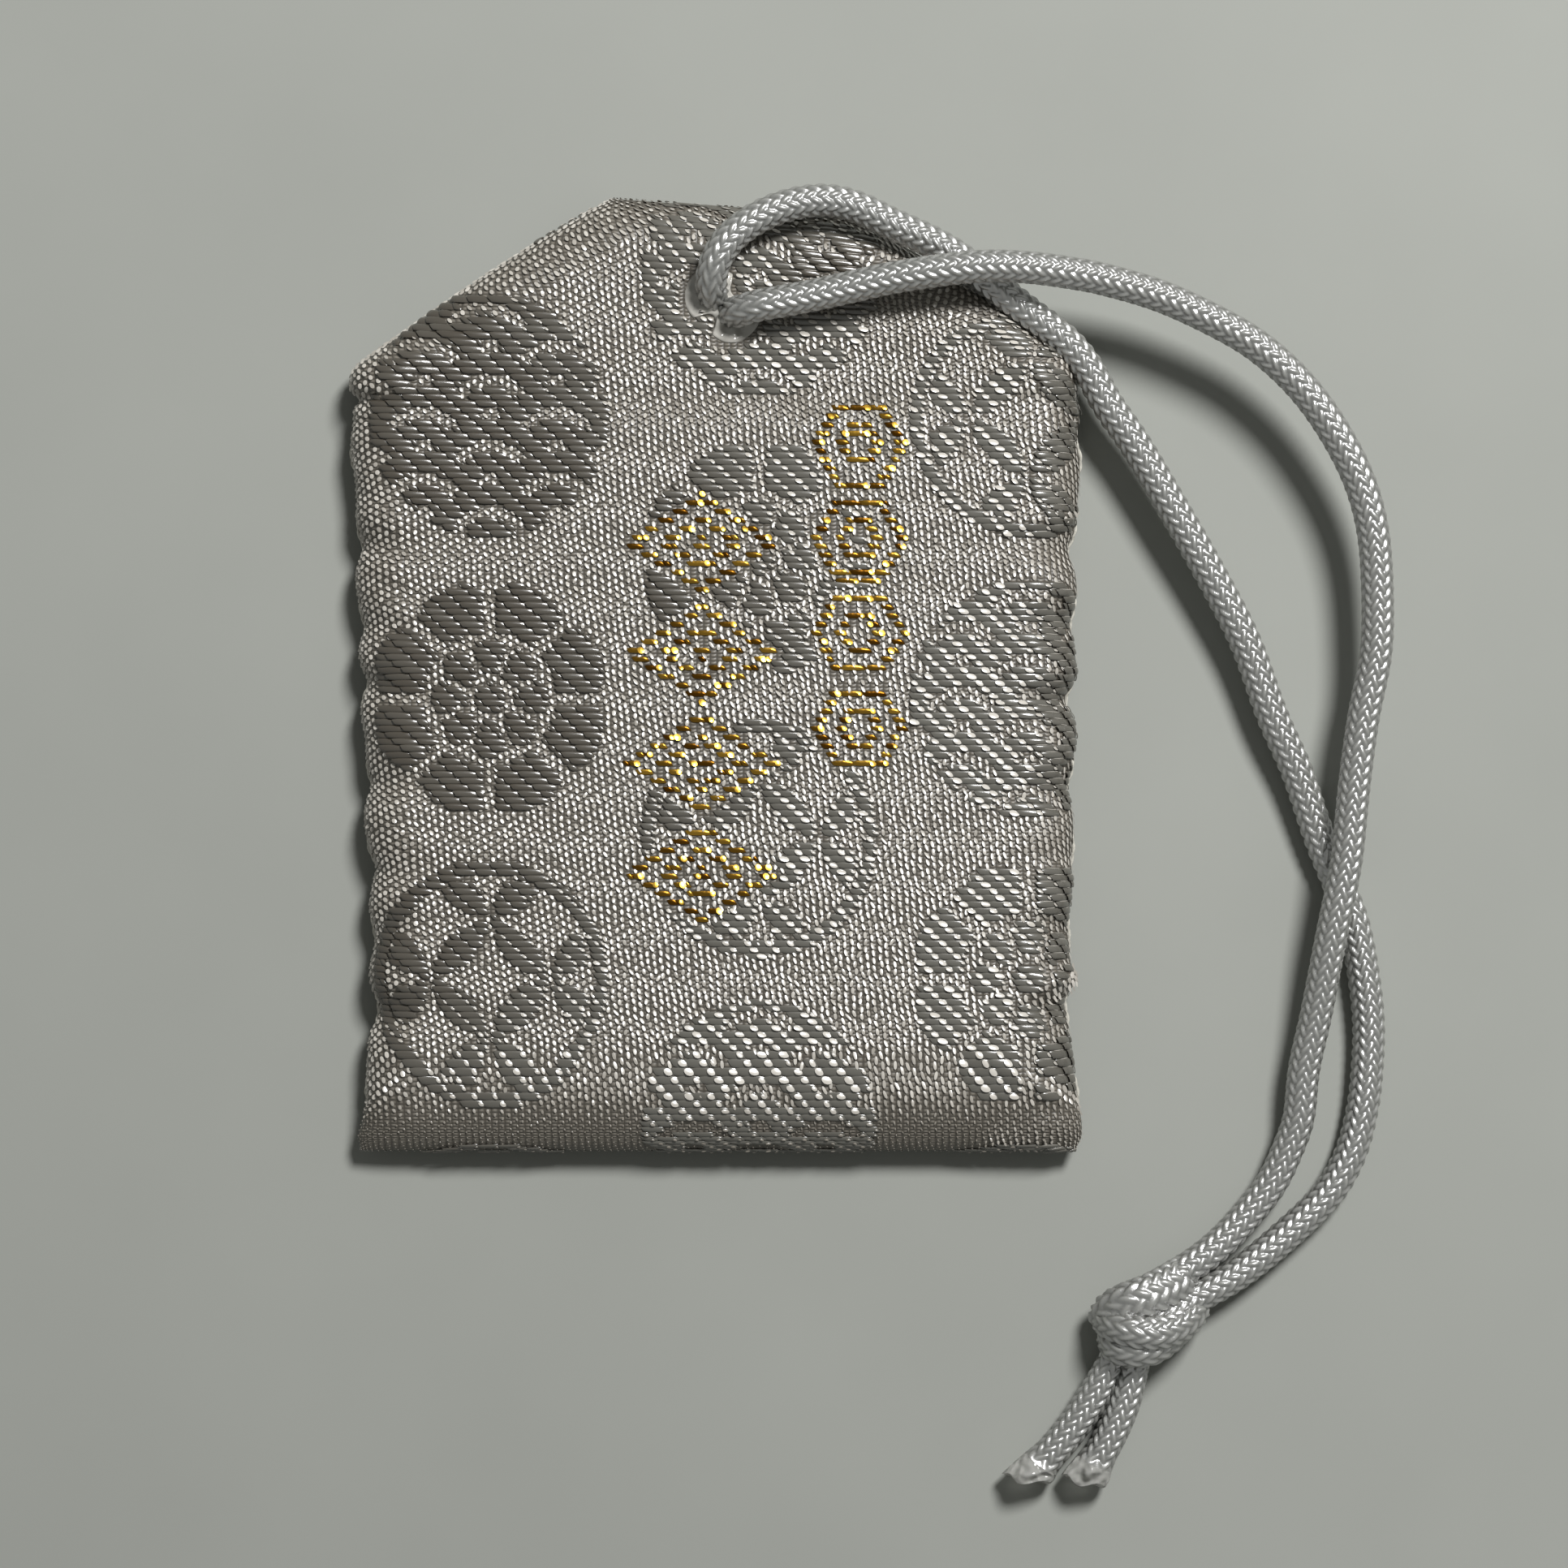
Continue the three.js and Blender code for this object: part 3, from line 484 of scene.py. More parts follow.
def edge_reach(pouch, y, side):
    """How far the pouch reaches from its middle line at height y: a side that is drawn in above its flared
    bottom corner and pulled in at each stitch, then a slope to the top edge, straight on the left and bowed
    out on the right. The right side bulges where its seam bunches and at its bottom corner. A notch below
    each shoulder shows where its folded layer steps over the body. A soft least of the body and the slope
    joins the two."""
    left = side < 0
    draw = pouch.left_draw if left else pouch.right_draw
    top = pouch.top_left if left else pouch.top_right
    notch = 0.75 * MM if left else 0.3 * MM
    rounding = 0.6 * MM if left else 0.4 * MM
    bow = 1.0 if left else 1.5
    bottom = -pouch.height / 2
    shoulder = pouch.height / 2 - pouch.shoulder_drop
    half = pouch.width / 2 + pouch.seam_allowance
    rise = np.clip(y - bottom, 0, None)
    slack = np.clip(1 - rise / (shoulder - bottom), 0, None)
    ripple = 0.14 * MM * np.sin(y / (0.95 * MM) + 1.8 * np.sin(y / (3.1 * MM)) + side)
    body = half - draw * (1 - np.exp(-rise / pouch.corner_flare)) * slack
    body = body - pouch.scallop * stitch_pull(pouch, y, side) + ripple
    if not left:
        bunch, bulge = bell(y, -20.9 * MM, 0.8 * MM), bell(rise, 1.6 * MM, 1.7 * MM)
        body = body + 0.45 * MM * bunch
        body = body + 0.45 * MM * bulge
    body = body - notch * bell(y - shoulder, -1.9 * MM, 0.5 * MM)
    body = body - rounding * (1 - smoothstep(rise, 0, 1.1 * MM))
    corner = half + 0.35 * MM
    t = np.clip((y - shoulder + 0.1 * MM) / pouch.shoulder_drop, 0, 1)
    slope = corner - (corner - top) * t**bow
    soft = 0.36 * MM
    least = np.minimum(body, slope)
    return least - soft * np.log(np.exp((least - body) / soft) + np.exp((least - slope) / soft))


def seam_wrinkles(y, inset, side):
    """Height of the wrinkles that run in from one seam: each starts at its own place, slants as it goes in
    and dies away. The last are ridges: one from the bottom corner, where the bottom roll meets the side's,
    and on the right one where the seam bunches, with a valley above it."""
    rng = np.random.default_rng(21 if side < 0 else 27)
    count = 17
    place = np.linspace(-30, 18, count) + rng.uniform(-1.3, 1.3, count)
    slant = rng.uniform(-0.7, 0.7, count)
    reach = rng.uniform(2.0, 6.0, count)
    wide = rng.uniform(0.4, 0.95, count)
    deep = rng.uniform(-0.32, 0.24, count)
    ridges = [(-30.8, 0.84, 5.5, 0.7, 0.25)]
    if side > 0:
        ridges = [(-30.3, 0.64, 6.0, 0.7, 0.28), (-20.7, -0.5, 4.0, 0.75, 0.4)]
        ridges.append((-19.1, -0.5, 3.4, 0.5, -0.25))
    height = np.zeros(np.shape(y))
    for at, lean, far, broad, tall in (*zip(place, slant, reach, wide, deep), *ridges):
        off_line = (y - at * MM - lean * inset) / (broad * MM)
        height = height + tall * MM * np.exp(-(off_line**2) - (inset / (far * MM)) ** 2)
    return height


def bunched(pouch, u, v):
    """Where the front bunches up in a ridge by a seam, so that only its warp shows."""
    y = cloth_up(pouch, v)[0]
    found = np.zeros(np.broadcast(u, v).shape, bool)
    for side in (-1, 1):
        inset = cloth_reach(pouch, y, side) - side * u
        found |= (inset < 6 * MM) & (seam_wrinkles(y, inset, side) > 0.14 * MM)
    return found


def hole_away(x, y):
    """Distance from the line between the two places where the cord comes out, and the nearest point of it.
    The distance counts for more in the middle of the line, which gives the hole a waist between strands."""
    first, last = UPPER_LEG[0, :2], LOWER_LEG[0, :2]
    run = last - first
    share = np.clip(((x - first[0]) * run[0] + (y - first[1]) * run[1]) / (run @ run), 0, 1)
    near_x, near_y = first[0] + share * run[0], first[1] + share * run[1]
    waist = 1 - 2 * share * (1 - share)
    return np.hypot(x - near_x, y - near_y) / waist, near_x, near_y


def quarter_arc(wide, tall):
    """Length of a quarter of an ellipse."""
    return pi / 2 * np.sqrt((wide**2 + tall**2) / 2)


def cloth_height(pouch):
    """Length of the front cloth from the bottom fold to the top edge, along the cloth."""
    rise = pouch.body_height - pouch.seam_level
    rolled = quarter_arc(pouch.bottom_round, rise) + quarter_arc(pouch.top_round, rise)
    return pouch.height - pouch.bottom_round - pouch.top_round + rolled


def cloth_up(pouch, v):
    """Height up the pouch, and rise above the edges, at a length v of front cloth above the bottom fold: a
    quarter ellipse up from the fold, straight on, and a quarter ellipse down to the top edge."""
    rise = pouch.body_height - pouch.seam_level
    low_arc = quarter_arc(pouch.bottom_round, rise)
    high_arc = quarter_arc(pouch.top_round, rise)
    total = cloth_height(pouch)
    low = np.clip(v / low_arc, 0, 1) * pi / 2
    high = np.clip((total - v) / high_arc, 0, 1) * pi / 2
    flat = np.clip(v - low_arc, 0, total - low_arc - high_arc)
    y = -pouch.height / 2 + pouch.bottom_round * (1 - np.cos(low)) + flat + pouch.top_round * np.cos(high)
    return y, np.sin(low) * np.sin(high)


def side_roll(pouch, y):
    """Width over which the front rolls down to its edge: narrow at the side seams, wide at the shoulders."""
    shoulder = pouch.height / 2 - pouch.shoulder_drop
    return pouch.side_round + 2.6 * MM * smoothstep(y, shoulder - 1 * MM, shoulder + 3 * MM)


def cloth_reach(pouch, y, side):
    """Length of front cloth from the middle line to the edge at height y, along the cloth."""
    roll = side_roll(pouch, y)
    return edge_reach(pouch, y, side) - roll + quarter_arc(roll, pouch.body_height - pouch.seam_level)


def top_shift(pouch, x, y):
    """How far the head leans: its rows tilt more and more towards the top edge."""
    low = pouch.height / 2 - pouch.shoulder_drop - 1.6 * MM
    lean = smoothstep(y, low, pouch.height / 2)
    return lean * (0.4 * MM - pouch.top_tilt * (x + pouch.top_left) / (pouch.top_left + pouch.top_right))


def front_relief(pouch, x, y, inset, side):
    """Height of the front face over its edges: the pack's crown and the head, less the puckers that each
    stitch pulls in, the seams' wrinkles, a crease along the top of the pack, a dimple round the hole, small
    folds by the seams, and slow waves."""
    head = smoothstep(y, 17 * MM, 20 * MM)
    crown = pouch.crown * np.cos(pi * x / pouch.width) * np.cos(pi * y / pouch.height)
    tall = pouch.body_height * (1 - head) + pouch.head_height * head + crown * (1 - head)
    pull = by_side(side, stitch_pull, pouch, y) - 0.3
    tall = tall - pouch.pucker * pull * np.exp(-((inset / (3.4 * MM)) ** 1.3))
    tall = tall + by_side(side, seam_wrinkles, y, inset)
    crease = 19.5 * MM + 0.9 * MM * np.sin(x / (7 * MM))
    tall = tall - 0.12 * MM * bell(y, crease, 2.2 * MM)
    corner = smoothstep(np.abs(x), 18 * MM, 24 * MM) * (1 - smoothstep(y, 21 * MM, 25 * MM))
    tall = tall + 0.4 * MM * corner * smoothstep(y, 19.0 * MM, 20.1 * MM)
    leaned = y + top_shift(pouch, x, y)
    away, near_x, near_y = hole_away(x, leaned)
    round_hole = np.arctan2(leaned - near_y, x - near_x)
    near = np.exp(-np.clip(away - pouch.hole_radius, 0, None) / (1.4 * MM))
    tall = tall - near * (0.2 * MM + 0.12 * MM * np.cos(7 * round_hole + 0.8))
    folds = np.sin(y / (0.52 * MM) + 1.5 * np.sin(y / (2.3 * MM))) + np.sin(y / (0.83 * MM) + side)
    tall = tall + 0.09 * MM * folds * bell(inset, 0, 1.9 * MM) * (1 - head)
    waves = (
        np.sin(x / (4.1 * MM) + y / (9.7 * MM) + 0.4)
        + np.sin(y / (5.3 * MM) - x / (8.1 * MM) + 2.1)
        + np.sin(x / (2.9 * MM) - y / (4.3 * MM) + 1.2) * 0.6
    )
    return tall + 0.05 * MM * waves


def front_point(pouch, u, v):
    """The point of the front face at u across and v up, both measured along the cloth."""
    y, up = cloth_up(pouch, v)
    side = np.where(u < 0, -1.0, 1.0)
    reach = by_side(u, edge_reach, pouch, y)
    roll = side_roll(pouch, y)
    arc = quarter_arc(roll, pouch.body_height - pouch.seam_level)
    left_over = np.clip(reach - roll + arc - np.abs(u), 0, None)
    turn = np.clip(left_over / arc, 0, 1) * pi / 2
    inset = roll * (1 - np.cos(turn)) + np.clip(left_over - arc, 0, None)
    x = side * (reach - inset)
    rise = np.sin(turn) * up
    z = pouch.seam_level + (front_relief(pouch, x, y, inset, side) - pouch.seam_level) * rise
    return np.stack([x, y + top_shift(pouch, x, y), z], axis=-1)


def back_point(pouch, u, v):
    """The point of the back face at u across and v up, along the cloth: flat on the table, with an edge that
    curls up to the seams, the bottom fold and the top edge."""
    floor = 0.3 * MM
    curl = 1.2 * MM
    y = -pouch.height / 2 + v
    side = np.where(u < 0, -1.0, 1.0)
    reach = by_side(u, edge_reach, pouch, y)
    inset = np.clip(reach - np.abs(u), 0, None)
    ends = np.minimum(v, pouch.height - v)
    near = np.minimum(inset, np.clip(ends, 0, None))
    bend = np.clip(1 - near / curl, 0, 1)
    x = side * (reach - inset)
    z = floor + (pouch.seam_level - 0.04 * MM - floor) * (1 - np.sqrt(np.clip(1 - bend**2, 0, 1)))
    return np.stack([x, y + top_shift(pouch, x, y), z], axis=-1)


def face_length(pouch, point):
    """Length of a face's cloth from the bottom fold to the top edge."""
    return cloth_height(pouch) if point is front_point else pouch.height


def face_reach(pouch, point, v, side):
    """Length of a face's cloth from the middle line to a side, at v above the bottom fold."""
    if point is front_point:
        return cloth_reach(pouch, cloth_up(pouch, v)[0], side)
    return edge_reach(pouch, v - pouch.height / 2, side)


def lifted(point, pouch, u, v, lift):
    """Points of a face, moved off it by lift along its normal, which points out of the pouch."""
    small = 0.04 * MM
    outward = 1.0 if point is front_point else -1.0
    here = point(pouch, u, v)
    across = point(pouch, u + small, v) - point(pouch, u - small, v)
    upwards = point(pouch, u, v + small) - point(pouch, u, v - small)
    normal = outward * np.cross(across, upwards)
    normal /= np.maximum(np.linalg.norm(normal, axis=-1), 1e-15)[..., None]
    return here + normal * lift[..., None]


def round_flower(weave, p, q):
    """A plain round flower of eight petals in two rings, with veins of ground weave between them."""
    r = np.hypot(p, q) / weave.roundel
    turn = 4 * np.arctan2(q, p)
    outer = (r > 0.56) & (r < 0.86 + 0.14 * np.abs(np.sin(turn)) ** 0.6) & (np.abs(np.sin(turn)) * r > 0.2)
    inner = (r > 0.2) & (r < 0.4 + 0.1 * np.abs(np.cos(turn)) ** 0.6) & (np.abs(np.cos(turn)) * r > 0.1)
    return outer | inner | (r < 0.13)


def interlaced_rings(weave, p, q):
    """Circles on a square lattice that overlap by a quarter: the lens where two cross is figure weave. A
    ring closes the roundel."""
    r = np.hypot(p, q) / weave.roundel
    ring = 0.5 * weave.roundel
    cover = np.zeros(p.shape)
    for i in range(-2, 3):
        for j in range(-2, 3):
            if (i + j) % 2 == 0:
                cover = cover + (np.hypot(p - i * ring, q - j * ring) < ring * 0.97)
    return ((cover > 1.5) & (r < 0.86)) | ((r > 0.88) & (r < 1.0))


def wave_scales(weave, p, q):
    """Scales of concentric bands, in staggered rows, cut to a round."""
    r = np.hypot(p, q) / weave.roundel
    size = 0.56 * weave.roundel
    found = np.zeros(p.shape, bool)
    done = np.zeros(p.shape, bool)
    for row in range(-5, 6):
        near = np.mod(p - size * (row % 2) + size, 2 * size) - size
        away = np.hypot(near, q - row * size * 0.5) / size
        here = (away < 1) & ~done
        found |= here & (np.mod(away * 2, 1) > 0.34)
        done |= here
    return found & (r < 1)


def woven_figure(weave, u, v):
    """Where the brocade's figure is woven: roundels on a half-drop lattice, of three kinds in turn."""
    u, v = np.broadcast_arrays(u, v)
    wide, tall = 18.6 * MM, 19.4 * MM
    first_u, first_v = 3.1 * MM, 3.6 * MM
    column = np.round((u - first_u) / wide)
    drop = np.mod(column, 2) * tall / 2
    row = np.round((v - first_v - drop) / tall)
    p = u - first_u - column * wide
    q = v - first_v - drop - row * tall
    kind = np.mod(column + 2 * row, 3)
    flower = round_flower(weave, p, q)
    rings = interlaced_rings(weave, p, q)
    waves = wave_scales(weave, p, q)
    return np.where(kind < 0.5, waves, np.where(kind < 1.5, flower, rings))


def gold_figure(u, v, grow=0.0):
    """Where the gold weft shows: a column of four nested lozenges and a shorter, smaller one of hexagons
    beside it. Grow widens the strokes."""
    u, v = np.broadcast_arrays(u, v)
    found = np.zeros(u.shape, bool)
    for k in range(4):
        p = np.abs(u + 0.9 * MM) / (5.4 * MM)
        q = np.abs(v - (43.4 - 7.6 * k) * MM) / (3.5 * MM)
        away = p + q
        found |= (away < 1 + grow) & (away > 0.8 - grow)
        found |= (away < 0.58 + grow) & (away > 0.38 - grow)
        found |= away < 0.16 + grow
    for k in range(4):
        p = np.abs(u - 10.0 * MM) / (3.4 * MM)
        q = np.abs(v - (50.2 - 6.5 * k) * MM) / (2.9 * MM)
        away = np.maximum(q, 0.5 * q + p)
        found |= (away < 1 + grow) & (away > 0.76 - grow)
        found |= (away < 0.5 + grow) & (away > 0.26 - grow)
    return found


def thread_floats(mask, u, rows, pitch, shift):
    """Cuts every row of a mask into floats: a float ends where the mask ends and where its row is bound, and
    the binding moves along by shift from one row to the next. Returns the start, end and row of each float,
    and whether its end is bound."""
    shortest = 0.3 * MM
    above = 10000  # keeps the number of every float over 0
    step = u[1] - u[0]
    bound = np.floor((u[None, :] + shift * np.arange(rows)[:, None]) / pitch).astype(int)
    code = np.where(mask, bound + above, -1)
    code = np.pad(code, ((0, 0), (1, 1)), constant_values=-1)
    change = code[:, 1:] != code[:, :-1]
    row, at = np.nonzero(change)
    inside = code[row, at + 1] >= 0
    following = np.concatenate([at[1:], [0]])
    start = u[0] + (at - 0.5) * step
    end = u[0] + (following - 0.5) * step
    keep = inside & (following > at) & (end - start > shortest)
    bound_end = code[row, np.minimum(following + 1, code.shape[1] - 1)] >= 0
    return start[keep], end[keep], row[keep], bound_end[keep]


def float_mesh(point, pouch, start, end, centre, wide, bulge, crown, tilt, base, steps):
    """Small flat bricks of thread, one for each float. The height falls as a high power of the distance from
    the middle, both along and across, so that only the rims dip, and it tilts down to the right. The ends
    slant down to the right. More points lie near the rims, by a sine."""
    a = np.sin(np.linspace(-pi / 2, pi / 2, steps[0]))[None, :, None]
    b = np.sin(np.linspace(-pi / 2, pi / 2, steps[1]))[None, None, :]
    half = (end - start)[:, None, None] / 2
    narrow = 1 - 0.2 * np.abs(a) ** 4
    up = b * wide / 2 * narrow
    u = (start + end)[:, None, None] / 2 + a * half - 0.7 * up
    v = centre[:, None, None] + up
    lift = bulge[:, None, None] * (1 - np.abs(a) ** 5) + crown[:, None, None] * (1 - np.abs(b) ** 5)
    lift = lift + base - tilt[:, None, None] * (a - 0.8) * half
    points = lifted(point, pouch, u, v, lift)
    return pad_faces(points, len(start), steps, point)


def pad_mesh(point, pouch, u, v, half_u, half_v, slope, base, dome, lean, steps):
    """Small pads where a thread comes up over another, one for each place: a square drawn out to a rounded
    one, lifted and domed. Each leans to the left by its own lean and is tilted by its own slopes."""
    a = np.linspace(-1, 1, steps[0])[None, :, None]
    b = np.linspace(-1, 1, steps[1])[None, None, :]
    sizes = (half_u, half_v, lean, *slope)
    half_u, half_v, lean, right, up = (np.reshape(size, (-1, 1, 1)) for size in sizes)
    across = half_u * a * np.sqrt(1 - 0.45 * b**2)
    upwards = half_v * b * np.sqrt(1 - 0.45 * a**2)
    lift = base + dome * (1 - a**2) * (1 - b**2)
    lift = lift - right * across - up * upwards
    across = across - lean * upwards
    points = lifted(point, pouch, u[:, None, None] + across, v[:, None, None] + upwards, lift)
    return pad_faces(points, len(u), steps, point)


def tilts(rng, count, across, upwards):
    """Slopes for a count of pads, across and upwards, each drawn from its mean and spread."""
    return rng.normal(*across, count), rng.normal(*upwards, count)


def pad_faces(points, count, steps, point):
    """Points and outward faces of many small grids, all of the same steps."""
    quads = grid_faces(*steps)
    if point is front_point:
        quads = quads[:, ::-1]
    faces = (np.arange(count) * steps[0] * steps[1])[:, None, None] + quads[None]
    return points.reshape(-1, 3), faces.reshape(-1, 4)


def brocade_ground(weave):
    """Polyester brocade, woven. Between the bright warp the eye sees a warm dark grey weft in fine ribs, and
    the gaps between the ribs are painted darker as shade.
    """
    material, tree, shader = new_material(
        "polyester_brocade_ground", {"Roughness": 0.42, "Specular IOR Level": 0.6}
    )
    uv = add_node(tree, "ShaderNodeUVMap", uv_map="cloth")
    split = add_node(tree, "ShaderNodeSeparateXYZ", {0: uv.outputs[0]})
    ridges = []
    for part, pitch in ((0, weave.warp_pitch), (1, weave.weft_pitch / 2)):
        turned = math_node(tree, "MULTIPLY", split.outputs[part], pi * UV_SPAN / pitch)
        ridges.append(math_node(tree, "ABSOLUTE", math_node(tree, "SINE", turned)))
    rib = math_node(tree, "MULTIPLY", *ridges)
    # Painted shade: the colour darkens in the low gaps between the ribs, where the rib height is small.
    tint_and_bump(tree, shader, rib, weave.ground_gap_shade, weave.ground_light, rib, 0.05 * MM)
    return material


def bright_warp(weave):
    """Bright flat polyester filament, woven. The eye sees small pads that flash where they face the lamp."""
    material, tree, shader = new_material(
        "bright_polyester_warp", {"Roughness": 0.26, "Specular IOR Level": 0.8}
    )
    tint_and_bump(tree, shader, point_value(tree, "tone"), weave.ground_light, weave.warp)
    return material


def figure_float(weave):
    """Untwisted bright polyester weft, floated. The eye sees smooth dark satin, painted paler where the weft
    is slack, which is towards the lamp on the right, as painted light.
    """
    material, tree, shader = new_material(
        "bright_polyester_float", {"Roughness": 0.22, "Specular IOR Level": 0.85}
    )
    fibres = object_noise(tree, 0.12 * MM, 2.0, squeeze=(0.12, 1.0, 1.0))
    tone = point_value(tree, "tone")
    tint_and_bump(tree, shader, tone, weave.float_painted_shade, weave.float_painted_lit, fibres, 0.012 * MM)
    return material


def gold_weft(weave):
    """Metallised film cut into flat yarn and woven in. The eye sees dark brown dashes with gold points: the
    flat dashes are painted dark as the reflection of a dark room, and the bent-up ends keep the full gold.
    """
    material, tree, shader = new_material("metallised_gold_weft", {"Metallic": 1.0, "Roughness": 0.27})
    dents = object_noise(tree, 0.4 * MM, 1.0)
    tint_and_bump(tree, shader, point_value(tree, "tone"), weave.gold_dark_reflection, weave.gold, dents, 0.03 * MM)
    return material


def cord_braid(cord):
    """Bright white polyester yarn, braided. The eye sees rows of white V glints over a mid grey, and the
    tops of the yarns are painted lighter as highlight and the hollows between them darker as shade.
    """
    material, tree, shader = new_material(
        "polyester_braid", {"Roughness": 0.33, "IOR": 2.3, "Specular IOR Level": 1.0}
    )
    fibres = object_noise(tree, 0.11 * MM, 1.0)
    # Painted highlight and shade: lighter on the tops of the yarns, darker in the hollows between them.
    tint_and_bump(tree, shader, point_value(tree, "relief"), cord.dark, cord.light, fibres, 0.01 * MM)
    return material


def melted_fibre(name, dark, light, clear, grain):
    """Polyester melted with a flame. The eye sees a hard, glassy, slightly yellow bead, or a whitish film:
    clear is the share of light that goes through, and grain the size of its lumps."""
    material, tree, shader = new_material(name, {"Roughness": 0.1, "Transmission Weight": clear})
    lumps = object_noise(tree, grain, 0.0)
    tint_and_bump(tree, shader, lumps, srgb(dark), srgb(light), lumps, 0.64 * grain)
    return material


def plain_fibre(name, light, dark, grain, depth, rough):
    """Paper, board, backing or spun thread. The eye sees a matt surface of fine fibres in two near colours:
    grain is the size of the fibres and depth their relief."""
    material, tree, shader = new_material(name, {"Roughness": rough})
    fibres = object_noise(tree, grain, 4.0)
    tint_and_bump(tree, shader, fibres, srgb(dark), srgb(light), fibres, depth)
    return material


def seen_directly(tree):
    """A socket that is 1 for what the camera sees, itself or in gloss or glass, and 0 for all other rays."""
    rays = add_node(tree, "ShaderNodeLightPath").outputs
    seen = math_node(tree, "MAXIMUM", rays["Is Camera Ray"], rays["Is Glossy Ray"])
    return math_node(tree, "MAXIMUM", seen, rays["Is Transmission Ray"])


def floor_paper(stage):
    """Thin machine-made paper. The eye sees an even pale grey with a slight mottle and no gloss. Far from
    the charm, where the lamp's light falls off, the eye is given the same grey."""
    material, tree, shader = new_material(
        "paper_floor", {"Roughness": 0.9, "Specular IOR Level": 0.2, "Emission Color": stage.floor}
    )
    lit, dim = 0.1, 0.7  # distances from the middle between which the lamp's light falls off
    cloud = object_noise(tree, 25 * MM, 5.0)
    mottle = add_node(tree, "ShaderNodeMapRange", {"Value": cloud, "To Min": 0.93, "To Max": 1.07})
    grey = {0: tuple(stage.floor)[:3], "Scale": mottle.outputs[0]}
    tint = add_node(tree, "ShaderNodeVectorMath", grey, operation="SCALE")
    tree.links.new(tint.outputs[0], shader.inputs["Base Color"])
    place = add_node(tree, "ShaderNodeTexCoord").outputs["Object"]
    away = add_node(tree, "ShaderNodeVectorMath", {0: place}, operation="LENGTH").outputs["Value"]
    far = add_node(
        tree,
        "ShaderNodeMapRange",
        {"Value": away, "From Min": lit, "From Max": dim},
        interpolation_type="SMOOTHSTEP",
    )
    glow = math_node(tree, "MULTIPLY", far.outputs[0], seen_directly(tree))
    tree.links.new(glow, shader.inputs["Emission Strength"])
    return material


class OMAMORI_OT_stage(bpy.types.Operator):
    """Lay the paper floor, hang the soft lamp and set the camera straight above"""

    bl_idname = "omamori.stage"
    bl_label = "Stage"

    def execute(self, context):
        stage = context.scene.omamori_stage
        size, lines, level = 1.6, 81, -0.02 * MM
        line = np.linspace(-size / 2, size / 2, lines)
        x, y = np.meshgrid(line, line)
        points = np.stack([x, y, np.full_like(x, level)], axis=-1)
        mesh = bpy.data.meshes.new("paper_floor")
        mesh.from_pydata(points.reshape(-1, 3).tolist(), [], grid_faces(lines, lines).tolist())
        mesh.materials.append(floor_paper(stage))
        floor = add_object("paper_floor", mesh)

        target = np.array((4.8, -7.4, 2.0)) * MM
        towards = np.array((0.35, 0.55, 0.755))
        distance = 0.55
        lamp_data = bpy.data.lights.new("soft_lamp", "AREA")
        lamp_data.shape = "DISK"
        lamp_data.size = stage.lamp_size
        lamp_data.energy = stage.lamp_power
        lamp = add_object("soft_lamp", lamp_data)
        lamp.location = target + towards * distance
        lamp.rotation_euler = (np.arccos(towards[2]), 0, np.arctan2(towards[1], towards[0]) + pi / 2)

        background = 0.43
        world = bpy.data.worlds.new("soft_room")
        world.use_nodes = True
        sky = world.node_tree.nodes["Background"]
        sky.inputs["Color"].default_value = srgb("#f4f6f2")
        strength = add_node(
            world.node_tree,
            "ShaderNodeMapRange",
            {"Value": seen_directly(world.node_tree), "To Min": stage.fill, "To Max": background},
        )
        world.node_tree.links.new(strength.outputs[0], sky.inputs["Strength"])
        context.scene.world = world

        sensor = 36
        centre = (4.78 * MM, -7.45 * MM)
        front_level = 4 * MM
        camera_data = bpy.data.cameras.new("camera")
        camera_data.sensor_width = sensor
        camera_data.lens = sensor * (stage.camera_height - front_level) / stage.view_width
        camera_data.clip_start = 0.01
        camera = add_object("camera", camera_data)
        camera.location = (*centre, stage.camera_height)
        context.scene.camera = camera
        context.scene.view_settings.view_transform = "Standard"
        return {"FINISHED"}


